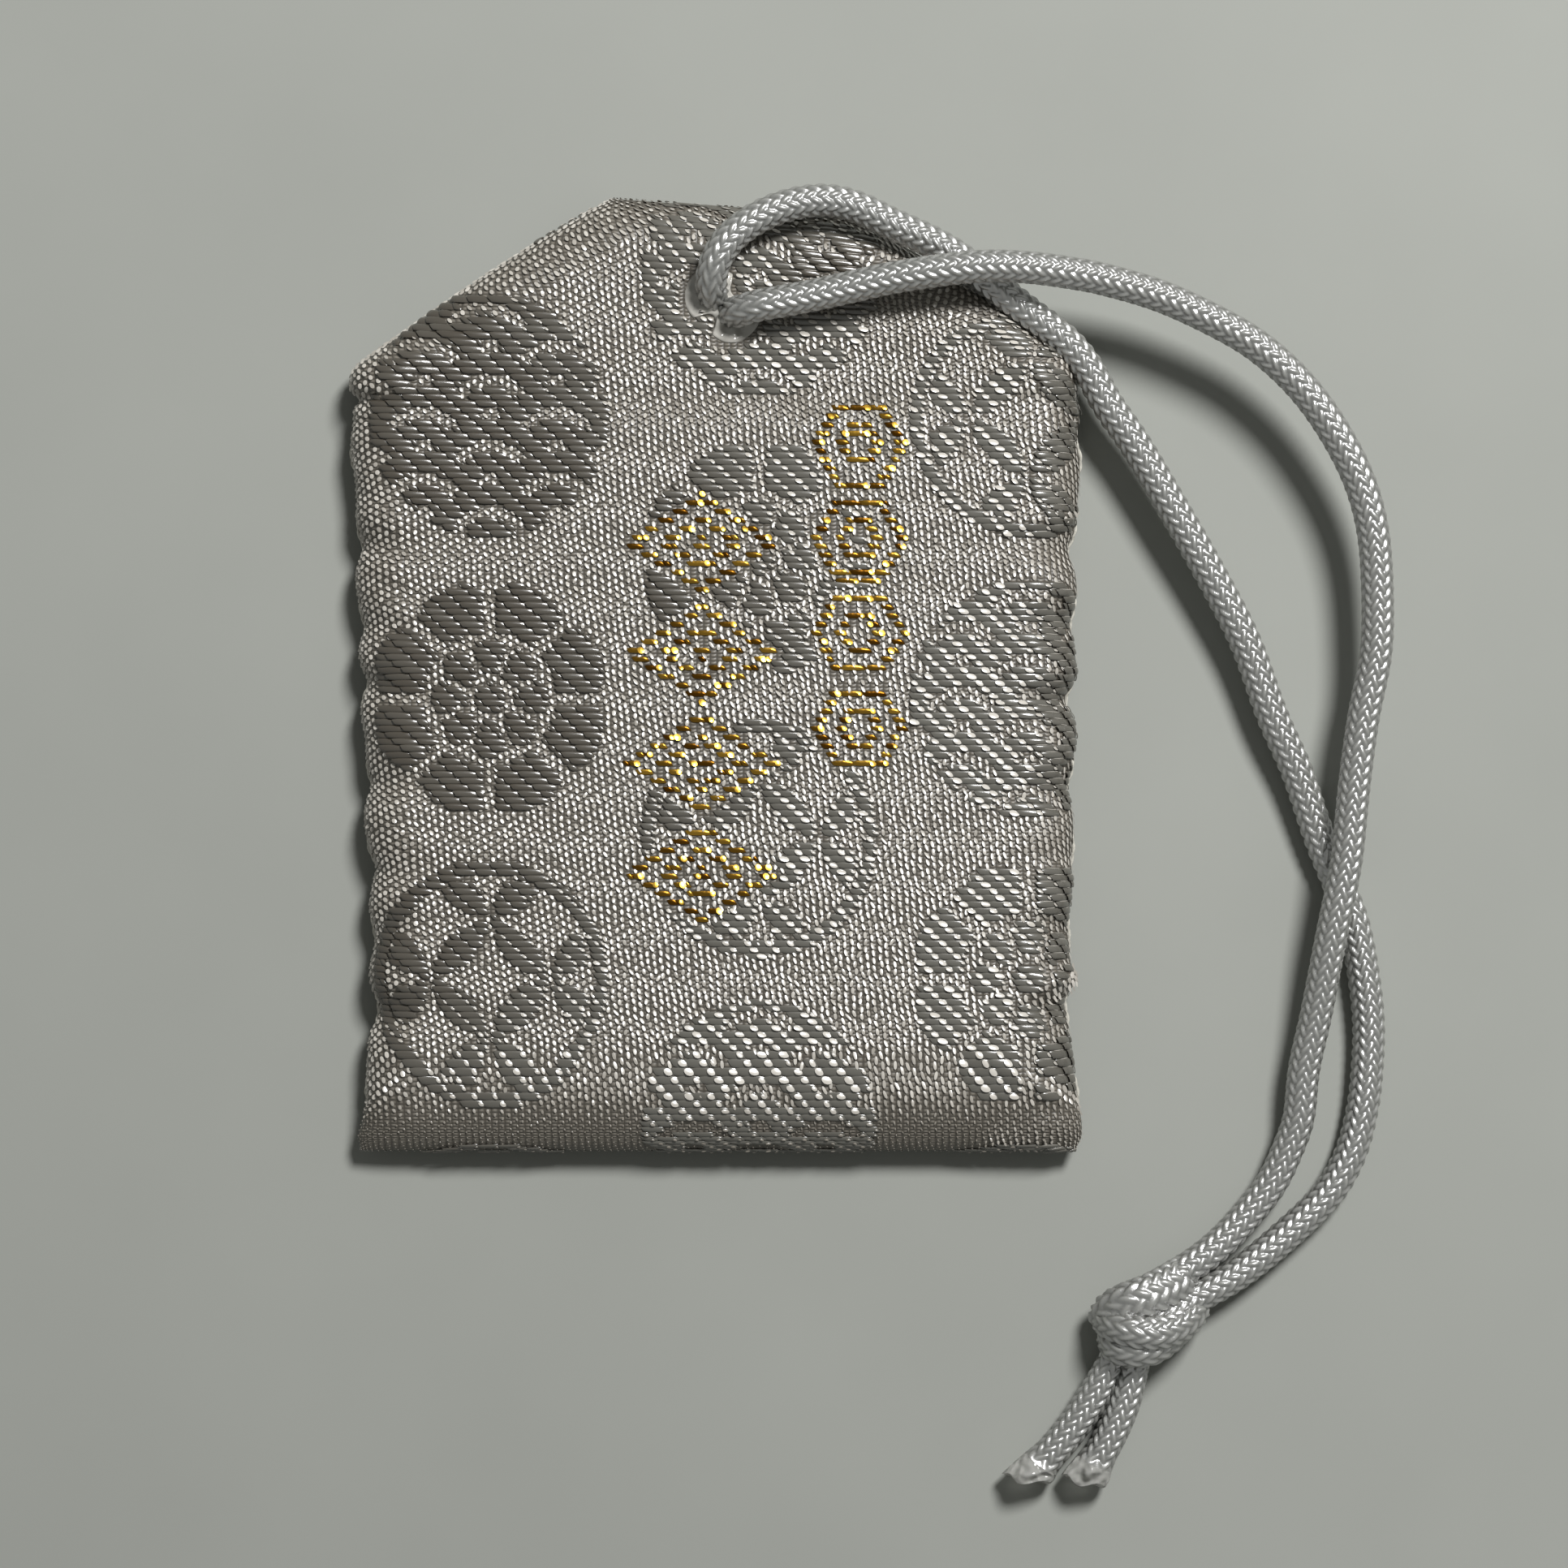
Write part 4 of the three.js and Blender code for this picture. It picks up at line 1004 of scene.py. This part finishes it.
class OMAMORI_OT_cord(bpy.types.Operator):
    """Braid the cord: its hidden bight, its two legs, the knot and the two tails"""

    bl_idname = "omamori.cord"
    bl_label = "Braided cord"

    def execute(self, context):
        cord = context.scene.omamori_cord
        braid = cord_braid(cord)
        step = cord.braid_pitch / 9

        path = route(BIGHT, step, 0.3 * MM)
        tube = braided_tube(cord, path, cord.diameter, (1, 0, 0))
        bight = cord_piece("cord_bight_braid", tube, [braid], "pouch")
        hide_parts("cord_bight")

        knot = self.knot(cord, braid)
        left, right = (self.tail(cord, braid, name, *sizes) for name, sizes in TAILS.items())

        for name, points, lift, going in (
            ("upper", UPPER_LEG, UPPER_LIFT, [bight, knot, left, right]),
            ("lower", LOWER_LEG, LOWER_LIFT, []),
        ):
            path = route(points, step, 0.6 * MM)
            tube = braided_tube(cord, path, cord.diameter, (-1, 0.3, 0))
            leg = cord_piece(f"cord_{name}_leg", tube, [braid], None)
            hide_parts(f"cord_{name}_near", f"cord_{name}_far")
            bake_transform(leg)
        return {"FINISHED"}

    def knot(self, cord, braid):
        """The knot: lengths of the braid carried along the parts of the tied cord that show, over a round
        core. Two carry on from the legs as the upper lobe, and two wrap across it side by side."""
        narrow, loose, core_diameter = 0.96, 1.06, 3.8 * MM
        tubes = []
        for spread, strand in KNOT_STRANDS:
            path = route(strand, cord.braid_pitch / 10, 0.35 * MM)
            shape = (narrow, spread)
            tubes.append(braided_tube(cord, path, cord.diameter * loose, (-0.3, 1, 0), shape=shape))
        t = np.linspace(-1, 1, 60)
        core = KNOT_CENTRE + t[:, None] * KNOT_CORE
        swell = np.sqrt(np.clip(1 - t**2, 0.02, 1))
        tubes.append(braided_tube(cord, core, core_diameter, (0, 0, 1), shape=(swell, swell)))
        knot = cord_piece("cord_knot_braid", join_tubes(tubes), [braid], "cord_loop")
        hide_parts("cord_knot")
        return knot

    def tail(self, cord, braid, name, root, heading, size, sway, slant):
        """A tail: the braid carried from the knot along a slightly bent line. It flattens and spreads
        towards its end, which is cut at a slant, and where the yarns have melted into an uneven lip."""
        axis = np.array((np.cos(heading), np.sin(heading), 0))
        cross = np.array((-axis[1], axis[0], 0))
        t = np.linspace(0, 1, 120)
        path = root + axis * (t * size)[:, None] + cross * (sway * np.sin(pi * t))[:, None]
        path = even_steps(path, cord.braid_pitch / 11)
        t = np.linspace(0, 1, len(path))
        end = smoothstep(t, 1 - FLARE / size, 1)
        melt = smoothstep(t, 1 - MELT / size, 1 - 0.9 * MM / size)
        swell = smoothstep(t, 1 - MELT / size, 1 - 1.0 * MM / size)
        shape = (0.86 + 0.14 * smoothstep(t, 0, 0.4) + 0.42 * end, 1 - 0.35 * end)
        points, faces, relief = braided_tube(
            cord, path, cord.tail_diameter, (0, 0, 1), shape=shape, fade=melt, pack=-1.06
        )
        angle = ring_angles(AROUND)
        lip = slant * np.sin(angle) + 0.22 * np.sin(3 * angle + 1)
        lip = lip + 0.12 * np.sin(5 * angle + sway / MM)
        push = (end[:, None] ** 2 * lip[None, :] * MM).reshape(-1, 1)
        points[:-2] += push * axis
        spread = np.linspace(0, size, len(path))[:, None] / MM
        lumps = np.sin(3 * angle[None, :] + 2.4 * spread) + np.sin(4 * angle[None, :] - 3.6 * spread + 1)
        upper = np.clip(np.cos(angle), 0, 1)[None, :]
        raised = (0.45 * swell + 0.08 * melt)[:, None] * upper * MM
        lumps = (raised + 0.12 * MM * melt[:, None] * upper * lumps).reshape(-1, 1)
        points[:-2] += lumps * np.array((0, 0, 1))
        tip = melted_fibre("melted_tip", "#d2d2cc", "#f6f5f0", 0.6, 0.6 * MM)
        tube = (points, faces, relief)
        tail = cord_piece(f"cord_tail_{name}_braid", tube, [braid, tip], f"tail_{name}")
        place = np.arange(len(faces))
        ring = np.minimum(place // AROUND, len(path) - 1)
        melted = (melt[ring] > 0.5) & (place < (len(path) - 1) * AROUND)
        melted |= place >= len(path) * AROUND
        tail.data.polygons.foreach_set("material_index", melted.astype(np.int32))
        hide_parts(f"cord_tail_{name}")
        return tail


class OMAMORI_OT_cloth(bpy.types.Operator):
    """Sew the pouch: the front and back of the brocade strip and the interlining behind them"""

    bl_idname = "omamori.cloth"
    bl_label = "Brocade and interlining"

    def execute(self, context):
        pouch = context.scene.omamori_pouch
        ground = brocade_ground(context.scene.omamori_weave)
        lining = plain_fibre("stiff_interlining", "#eceae3", "#d6d3ca", 0.3 * MM, 0.02 * MM, 0.85)
        for name, node, point, lift, flat in (
            ("front_brocade", "front_cloth", front_point, 0.0, (53.5, 70.5)),
            ("back_brocade", "back_cloth", back_point, 0.0, (51, 66.5)),
            ("front_lining_sheet", "front_lining", front_point, -0.55 * MM, (46, 61)),
            ("back_lining_sheet", "back_lining", back_point, -0.5 * MM, (44, 57)),
        ):
            outer = "cloth" in node
            piece = self.face(pouch, name, point, lift, [ground, lining] if outer else [lining], outer)
            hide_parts(node)
        self.hole_edge(pouch, melted_fibre("melted_film", "#b4b1a9", "#dedbd3", 0.1, 1.1 * MM))
        return {"FINISHED"}

    def face(self, pouch, name, point, lift, materials, outer):
        """One face of the pouch as a grid: rows run up the cloth and columns from seam to seam, so that the
        edge columns follow the sewn outline. A lining is smaller, so that it stops short of the seams."""
        rows, columns = 211, 171
        keep = 1.0 if outer else LINING_SHARE
        total = face_length(pouch, point)
        margin = (1 - keep) / 2
        v = np.linspace(margin * total, (1 - margin) * total, rows)[:, None]
        w = np.linspace(-keep, keep, columns)[None, :]
        u = w * by_side(w, face_reach, pouch, point, v)
        v = np.broadcast_to(v, u.shape)
        points = lifted(point, pouch, u, v, np.full(u.shape, lift)).reshape(-1, 3)
        uv = np.stack([u / UV_SPAN + 0.5, v / UV_SPAN + 0.1], axis=-1).reshape(-1, 2)
        faces = grid_faces(rows, columns)
        if point is front_point:
            radius = pouch.hole_radius if outer else pouch.lining_hole
            points, faces, uv = self.punch(radius, points, faces, uv)
        else:
            faces = faces[:, ::-1]
        piece = mesh_piece(name, points, faces, materials, "pouch", uv=uv)
        thicken(piece, pouch.cloth if outer else LINING, rim=len(materials) - 1)
        return piece

    def punch(self, radius, points, faces, uv):
        """Punches the cord's hole: faces inside its outline go, the points that are left there move out to
        it, and the points that no face uses go too."""
        away, near_x, near_y = hole_away(points[:, 0], points[:, 1])
        inside = away < radius
        faces = faces[~inside[faces].all(axis=1)]
        near = np.stack([near_x, near_y], axis=1)
        moved = near + (points[:, :2] - near) / np.maximum(away, 1e-9)[:, None] * radius
        points[inside, :2] = moved[inside]
        used, index = np.unique(faces, return_inverse=True)
        return points[used], index.reshape(faces.shape), uv[used]

    def hole_edge(self, pouch, material):
        """The melted edge of the hole, a thin film that closes round the strands: rings from the middle out
        to the hole's outline, which is found by walking outwards, with a low dome and slow lumps."""
        rings, spokes = 16, 120
        angle = ring_angles(spokes)
        aim = np.stack([np.cos(angle), np.sin(angle)])
        walk = np.linspace(0, 5 * MM, 801)
        middle = (UPPER_LEG[0, :2] + LOWER_LEG[0, :2]) / 2
        outside, _, _ = hole_away(*(middle[:, None, None] + walk * aim[..., None]))
        out = walk[np.argmax(outside > pouch.hole_radius + FILM_MARGIN, axis=1)]
        share = np.linspace(0.02, 1, rings)[:, None]
        x, y = middle[:, None, None] + share * out * aim[:, None, :]
        z = front_relief(pouch, x, y - top_shift(pouch, x, y), np.full(x.shape, 8 * MM), np.ones(x.shape))
        z = z + 0.06 * MM + 0.15 * MM * (1 - share**2) + 0.05 * MM * np.sin(5 * angle + 9 * share)
        z[-1] -= 0.15 * MM
        points = np.vstack([np.stack([x, y, z], axis=-1).reshape(-1, 3), [[*middle, z[0].mean()]]])
        faces = grid_faces(rings, spokes, wrap=True)[:, ::-1].tolist()
        ring = np.arange(spokes)
        faces += np.stack([np.full(spokes, rings * spokes), ring, (ring + 1) % spokes], axis=1).tolist()
        film = mesh_piece("hole_melted_edge", points, faces, [material], "pouch")
        thicken(film, 0.12 * MM)


class OMAMORI_OT_figure(bpy.types.Operator):
    """Weave the brocade's threads: bright warp, silver floats, and gold weft on the front"""

    bl_idname = "omamori.figure"
    bl_label = "Woven figure"

    def execute(self, context):
        pouch = context.scene.omamori_pouch
        weave = context.scene.omamori_weave
        silver = figure_float(weave)
        warp = bright_warp(weave)
        for name, point in (("front", front_point), ("back", back_point)):
            bound = self.silver(pouch, weave, silver, name, point)
            self.warp(pouch, weave, warp, name, point, *bound)
        self.gold(pouch, weave)
        return {"FINISHED"}

    def on_cloth(self, pouch, point, u, v, edge):
        """Which places lie on a face, clear of its edges and of the hole."""
        back_edge = 1.3 * MM
        edge = edge if point is front_point else back_edge
        on = (u > -face_reach(pouch, point, v, -1) + edge) & (u < face_reach(pouch, point, v, 1) - edge)
        if point is front_point:
            place = front_point(pouch, u, v)
            on &= hole_away(place[..., 0], place[..., 1])[0] > pouch.hole_radius + edge + FILM_MARGIN
        else:
            on &= (v > edge) & (v < pouch.height - edge)
        return on

    def rows_of(self, pouch, point, pitch):
        """The rows of weft on a face, fine steps across it, and which of those lie on the cloth."""
        widest, fine, edge = 31 * MM, 0.09 * MM, 0.3 * MM
        v = np.arange(pitch, face_length(pouch, point) - 2 * pitch, pitch)
        u = np.arange(-widest, widest, fine)
        return u, v, self.on_cloth(pouch, point, *np.broadcast_arrays(u[None, :], v[:, None]), edge)

    def silver(self, pouch, weave, material, name, point):
        """Floats of the figure on one face, with the weft slacker towards the right, where they are also
        painted paler as light from the lamp.
        Returns each float's start, end, row and slack, and whether its end is bound."""
        u, v, on = self.rows_of(pouch, point, weave.float_row)
        mask = on & woven_figure(weave, u[None, :], v[:, None])
        if point is front_point:
            mask &= ~gold_figure(u[None, :], v[:, None], 0.1)
            mask &= ~bunched(pouch, u[None, :], v[:, None])
        start, end, row, bound = thread_floats(mask, u, len(v), weave.float_length, weave.float_length / 3)
        rng = np.random.default_rng(3)
        middle = (start + end) / 2
        low = 1 - smoothstep(v[row], 6 * MM, 15 * MM)
        slack = smoothstep(middle + 7 * MM * np.sin(v[row] / (8 * MM)) + 12 * MM * low, -15 * MM, 12 * MM)
        slack = slack * (1 - smoothstep(middle, 20 * MM, 24 * MM))
        beside = (middle - 8.7 * MM) / (4.2 * MM)
        above = (cloth_up(pouch, v[row])[0] - 28.5 * MM) / (3 * MM)
        slack = slack * (1 - np.exp(-(beside**4) - above**4))
        bulge = (0.05 + rng.uniform(-0.01, 0.01, len(start))) * MM
        crown = (0.07 - 0.02 * slack) * MM
        tilt = (0.11 if point is front_point else 0.03) * (1 - slack)
        steps = (7, 6) if point is front_point else (5, 3)
        points, faces = float_mesh(
            point, pouch, start, end, v[row], weave.float_row, bulge, crown, tilt, 0.02 * MM, steps
        )
        # Painted light: the floats' colour is paler where the weft is slack, towards the lamp on the right,
        # and paler by the right seam. The rest of the tone varies at random.
        rim = smoothstep(middle, 20 * MM, 24 * MM)
        tone = np.clip(0.12 + 0.75 * slack + 0.6 * rim + rng.uniform(-0.12, 0.12, len(start)), 0, 1)
        tone = np.repeat(tone, steps[0] * steps[1])
        weave_piece(f"{name}_figure_floats", (points, faces, tone), material)
        return start, end, v[row], slack, bound

    def warp(self, pouch, weave, material, name, point, *floats):
        """The warp on one face: dashes over the ground, and lines and pads over the figure's floats."""
        rng = np.random.default_rng(8)
        parts = [self.dashes(pouch, weave, rng, point)]
        if point is front_point:
            parts.append(self.thin_lines(pouch, weave, rng, *floats[:4]))
        parts.append(self.end_pads(pouch, rng, point, *floats[1:]))
        weave_piece(f"{name}_warp", join_pads(parts), material)

    def dashes(self, pouch, weave, rng, point):
        """Dashes of warp in staggered, leaning columns. Each is tilted to the upper right, by a little more
        or less, and less by the seams. On the left the tilt makes up for part of the side's roll, and where
        the cloth bunches it makes up for the ridge."""
        total = face_length(pouch, point)
        columns = np.arange(-72, 73)
        slant = 0.14
        i, j = np.meshgrid(columns, np.arange(int(total / weave.weft_pitch) + 1), indexing="ij")
        v = ((j + 0.5 * np.mod(i, 2)) * weave.weft_pitch).ravel()
        u = i.ravel() * weave.warp_pitch - slant * (v - total / 2)
        covered = woven_figure(weave, u, v)
        if point is front_point:
            off_row = np.abs(np.mod(v / weave.gold_row + 0.5, 1) - 0.5) * weave.gold_row
            covered &= ~gold_figure(u, v, 0.1)
            covered |= gold_figure(u, v, 0.02) & (off_row < 0.16 * MM)
            covered &= ~bunched(pouch, u, v)
        keep = self.on_cloth(pouch, point, u, v, 0.2 * MM) & ~covered
        u, v = u[keep], v[keep]
        u = u + rng.normal(0, 0.03 * MM, len(u)) + 0.05 * MM * np.sin(v / (0.7 * MM) + u / (1.1 * MM))
        v = v + rng.normal(0, 0.03 * MM, len(v))
        right = smoothstep(u, -18 * MM, 8 * MM)
        # How much of each dash shows, less towards the bottom fold. The same share also paints the dashes
        # darker there, as shade on the roll.
        size_and_shade = 0.35 + 0.65 * smoothstep(v, 3 * MM, 6.5 * MM)
        corner = smoothstep(u, 16 * MM, 20 * MM)
        size_and_shade = np.maximum(size_and_shade, 0.7 * corner)
        half_u = (0.13 - 0.01 * right) * MM * size_and_shade
        half_v = (0.17 + 0.06 * right) * MM * size_and_shade
        y = cloth_up(pouch, v)[0]
        inset = by_side(u, cloth_reach, pouch, y) - np.abs(u)
        least = np.where(u < 0, 0.75, 0.4)
        lie = least + (1 - least) * smoothstep(inset, 2 * MM, 6 * MM)
        slope = tilts(rng, len(u), (0.2, 0.08), (0.29, 0.1))
        slope = (
            lie * (slope[0] - 0.06 * u / (25 * MM)),
            lie * slope[1] + 0.25 * corner * (1 - smoothstep(v, 2 * MM, 5 * MM)),
        )
        if point is front_point:
            small = 0.1 * MM
            steepest = 0.8
            level = front_point(pouch, u, v)[..., 2]
            rising = (
                (front_point(pouch, u + small, v)[..., 2] - level) / small,
                (front_point(pouch, u, v + small)[..., 2] - level) / small,
            )
            slope = (slope[0] + np.where(u < 0, 0.4, 0) * np.clip(rising[0], 0, steepest), slope[1])
            wanted = tilts(rng, len(u), (0.18, 0.12), (0.31, 0.12))
            ridge = bunched(pouch, u, v)
            made_up = [wanted[k] + np.clip(rising[k], -steepest, steepest) for k in (0, 1)]
            slope = tuple(np.where(ridge, made_up[k], slope[k]) for k in (0, 1))
        lean = rng.normal(0.2, 0.2, len(u))
        steps = (3, 4) if point is front_point else (3, 3)
        pads = pad_mesh(point, pouch, u, v, half_u, half_v, slope, 0.075 * MM, 0.03 * MM, lean, steps)
        # Painted shade: near the bottom fold, where the cloth rolls away from the lamp, the dashes are
        # painted darker. The rest of the tone varies at random.
        tone = np.repeat(rng.uniform(0.35, 1, len(u)) * (1.8 * size_and_shade - 0.8), steps[0] * steps[1])
        return *pads, tone

    def thin_lines(self, pouch, weave, rng, start, end, row, slack):
        """A thin line of warp above each tight float on the right of the front."""
        tight = (slack < 0.25) & (start > 1 * MM)
        start, end, row = start[tight], end[tight], row[tight]
        slope = tilts(rng, len(start), (0.15, 0.12), (0.22, 0.12))
        at, up = (start + end) / 2, row + weave.float_row / 2
        half_u, half_v = 0.42 * (end - start), 0.018 * MM
        pads = pad_mesh(front_point, pouch, at, up, half_u, half_v, slope, 0.12 * MM, 0.02 * MM, 0.0, (4, 3))
        return *pads, np.full(len(pads[0]), 0.8)

    def end_pads(self, pouch, rng, point, end, row, slack, bound):
        """A pad of warp over the end of each slack float, larger where the float is slacker and smaller
        where its end isn't bound.
        Its colour is painted paler where the float is slacker, towards the lamp on the right, and darker
        near the bottom fold, as painted light and shade."""
        slack = slack * np.where(bound, 1, 0.4)
        loose = slack > 0.12
        end, row, slack = end[loose], row[loose], slack[loose]
        size_and_shade = 0.5 + 0.5 * smoothstep(row, 3 * MM, 6.5 * MM)
        half_u = (0.1 + 0.2 * slack) * MM * size_and_shade * rng.uniform(0.65, 1.15, len(end))
        half_v = (0.09 + 0.1 * slack) * MM * size_and_shade * rng.uniform(0.75, 1.1, len(end))
        slope = tilts(rng, len(end), (0.2, 0.06), (0.3, 0.07))
        at = end - (0.05 + 0.22 * slack) * MM
        steps = (4, 4) if point is front_point else (3, 3)
        pads = pad_mesh(point, pouch, at, row, half_u, half_v, slope, 0.17 * MM, 0.04 * MM, 0.6, steps)
        return *pads, np.repeat((0.6 + 0.4 * slack) * (2 * size_and_shade - 1), steps[0] * steps[1])

    def gold(self, pouch, weave):
        """Gold weft on the front, in lozenges and hexagons: flat dashes, and a bright pad over some of their
        ends, where the film bends up."""
        u, v, on = self.rows_of(pouch, front_point, weave.gold_row)
        mask = on & gold_figure(u[None, :], v[:, None])
        start, end, row, _ = thread_floats(mask, u, len(v), 1.55 * MM, 0.5 * MM)
        rng = np.random.default_rng(4)
        bulge = rng.uniform(0.05, 0.08, len(start)) * MM
        wide, steps = weave.gold_row * 0.6, (8, 4)
        dashes = float_mesh(
            front_point, pouch, start, end, v[row], wide, bulge, 0.6 * bulge, 0 * bulge, 0.03 * MM, steps
        )
        bent = rng.uniform(0, 1, len(end)) < 0.4
        at, up = end[bent] - 0.15 * MM, v[row][bent]
        size = rng.uniform(0.15, 0.24, len(at)) * MM
        slope = tilts(rng, len(at), (0.2, 0.05), (0.31, 0.06))
        pads = pad_mesh(front_point, pouch, at, up, size, size, slope, 0.16 * MM, 0.03 * MM, 0.2, (4, 4))
        # Painted reflection: the flat dashes are darkened towards brown, by a random amount, as the
        # reflection of a dark room. The bent-up pads keep the full gold.
        tone = np.repeat(rng.uniform(0, 0.6, len(start)) ** 1.5, steps[0] * steps[1])
        parts = [(*dashes, tone), (*pads, np.ones(len(pads[0])))]
        weave_piece("front_gold_weft", join_pads(parts), gold_weft(weave))


class OMAMORI_OT_inside(bpy.types.Operator):
    """Sew the side seams and the keeper stitch, fold the corner tucks, and finish the paper pack"""

    bl_idname = "omamori.inside"
    bl_label = "Seams and pack"

    def execute(self, context):
        pouch = context.scene.omamori_pouch
        thread = plain_fibre("spun_sewing_thread", "#e9e6dc", "#c3bfb2", 0.15 * MM, 0.03 * MM, 0.6)
        ground = bpy.data.materials["polyester_brocade_ground"]
        for name, side in (("left", -1), ("right", 1)):
            self.seam(pouch, name, side, thread)
            self.tuck(name, side, ground)
        self.keeper(thread)
        paper = plain_fibre("handmade_paper", "#efe6cd", "#d9cdae", 0.8 * MM, 0.02 * MM, 0.85)
        card = plain_fibre("grey_board", "#b6a489", "#97866c", 0.6 * MM, 0.03 * MM, 0.9)
        for node, material in (("paper_sleeve", paper), ("prayer_slip", paper), ("stiffener_card", card)):
            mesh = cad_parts[node].data
            mesh.materials.clear()
            mesh.materials.append(material)
        return {"FINISHED"}

    def thread_tube(self, path, radius, first):
        """A two-ply thread carried along a path: its outline is two lobes that turn once every 0.9 mm."""
        around = 10
        turn = 0.9 * MM
        step = np.linalg.norm(path[1] - path[0])
        twist = np.arange(len(path))[:, None] * step / turn * 2 * pi
        lobes = radius * (0.78 + 0.22 * np.cos(2 * ring_angles(around)[None, :] - twist))
        points, _ = tube_rings(path, first, lobes)
        ends = [list(range(around))[::-1], list(range(len(points) - around, len(points)))]
        return points, grid_faces(len(path), around, wrap=True).tolist() + ends

    def seam(self, pouch, name, side, thread):
        """A side seam: the thread winds over the edges of both cloths, out at each stitch and in between."""
        lowest = -pouch.height / 2 + 1.5 * MM
        highest = pouch.height / 2 - pouch.shoulder_drop - 2.2 * MM
        radius, step = 0.16 * MM, 0.09 * MM
        y = np.linspace(lowest, highest, 900)
        wind = 2 * pi * (y + pouch.height / 2 - FIRST_STITCH) / pouch.stitch_pitch
        out = edge_reach(pouch, y, side) - 0.2 * MM + 0.3 * MM * np.cos(wind)
        path = np.stack([side * out, y, pouch.seam_level + 0.35 * MM * np.sin(wind)], axis=-1)
        points, faces = self.thread_tube(even_steps(path, step), radius, (1, 0, 0))
        seam = mesh_piece(f"{name}_seam_stitches", points, faces, [thread], "pouch")
        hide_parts(f"{name}_seam_thread")

    def keeper(self, thread):
        """The keeper stitch: a thread straight through both linings, as thick as the part's own."""
        low, high = (np.array(corner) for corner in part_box("keeper_stitch"))
        middle = (low + high) / 2
        t = np.linspace(0, 1, 60)
        path = np.stack([middle[0] + 0 * t, middle[1] + 0 * t, low[2] + (high[2] - low[2]) * t], axis=-1)
        points, faces = self.thread_tube(path, min(high[0] - low[0], high[1] - low[1]) / 2, (1, 0, 0))
        keeper = mesh_piece("keeper_thread", points, faces, [thread], "pouch")
        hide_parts("keeper_stitch")

    def tuck(self, name, side, ground):
        """A corner tuck: the strip's corner turned in along the shoulder, a soft triangle whose rows run
        from the fold to the tip and which rises a little along the fold."""
        rows, columns = 25, 33
        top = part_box(f"{name}_corner_tuck")[1][2]
        foot, head, tip = (np.array(c) * MM for c in ((21.5, 22.25), (11.05, 30.1), (14.9, 21.1)))
        s, t = np.meshgrid(np.linspace(0, 1, columns), np.linspace(0, 0.96, rows))
        fold = foot + (head - foot) * s[..., None]
        flat = fold * (1 - t[..., None]) + tip * t[..., None]
        z = top - 0.04 * MM - 0.1 * MM * smoothstep(t, 0, 0.5)
        points = np.stack([side * flat[..., 0], flat[..., 1], z], axis=-1)
        uv = flat.reshape(-1, 2) / UV_SPAN + 0.5
        faces = grid_faces(rows, columns)
        if side > 0:
            faces = faces[:, ::-1]
        tuck = mesh_piece(f"{name}_corner_fold", points, faces, [ground], "pouch", uv=uv)
        thicken(tuck, 0.35 * MM)
        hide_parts(f"{name}_corner_tuck")


class OMAMORI_PT_panel(bpy.types.Panel):
    """Lists the steps that make the charm"""

    bl_idname = "OMAMORI_PT_panel"
    bl_label = "Omamori charm"
    bl_space_type = "VIEW_3D"
    bl_region_type = "UI"
    bl_category = "Omamori"

    def draw(self, context):
        for step in STEPS:
            self.layout.operator(step.bl_idname)
        for name, _ in GROUPS:
            group = getattr(context.scene, name)
            box = self.layout.box()
            for key in group.bl_rna.properties.keys():
                if key not in {"rna_type", "name"}:
                    box.prop(group, key)


STEPS = (OMAMORI_OT_stage, OMAMORI_OT_cord, OMAMORI_OT_cloth, OMAMORI_OT_figure, OMAMORI_OT_inside)
GROUPS = (
    ("omamori_pouch", PouchSettings),
    ("omamori_weave", WeaveSettings),
    ("omamori_cord", CordSettings),
    ("omamori_stage", StageSettings),
)


def register():
    for name, group in GROUPS:
        bpy.utils.register_class(group)
        setattr(bpy.types.Scene, name, bpy.props.PointerProperty(type=group))
    for step in STEPS:
        bpy.utils.register_class(step)
    bpy.utils.register_class(OMAMORI_PT_panel)


def unregister():
    bpy.utils.unregister_class(OMAMORI_PT_panel)
    for step in reversed(STEPS):
        bpy.utils.unregister_class(step)
    for name, group in reversed(GROUPS):
        delattr(bpy.types.Scene, name)
        bpy.utils.unregister_class(group)


def main():
    register()
    bpy.ops.omamori.stage()
    bpy.ops.omamori.cord()
    bpy.ops.omamori.cloth()
    bpy.ops.omamori.figure()
    bpy.ops.omamori.inside()


if __name__ == "__main__":
    main()
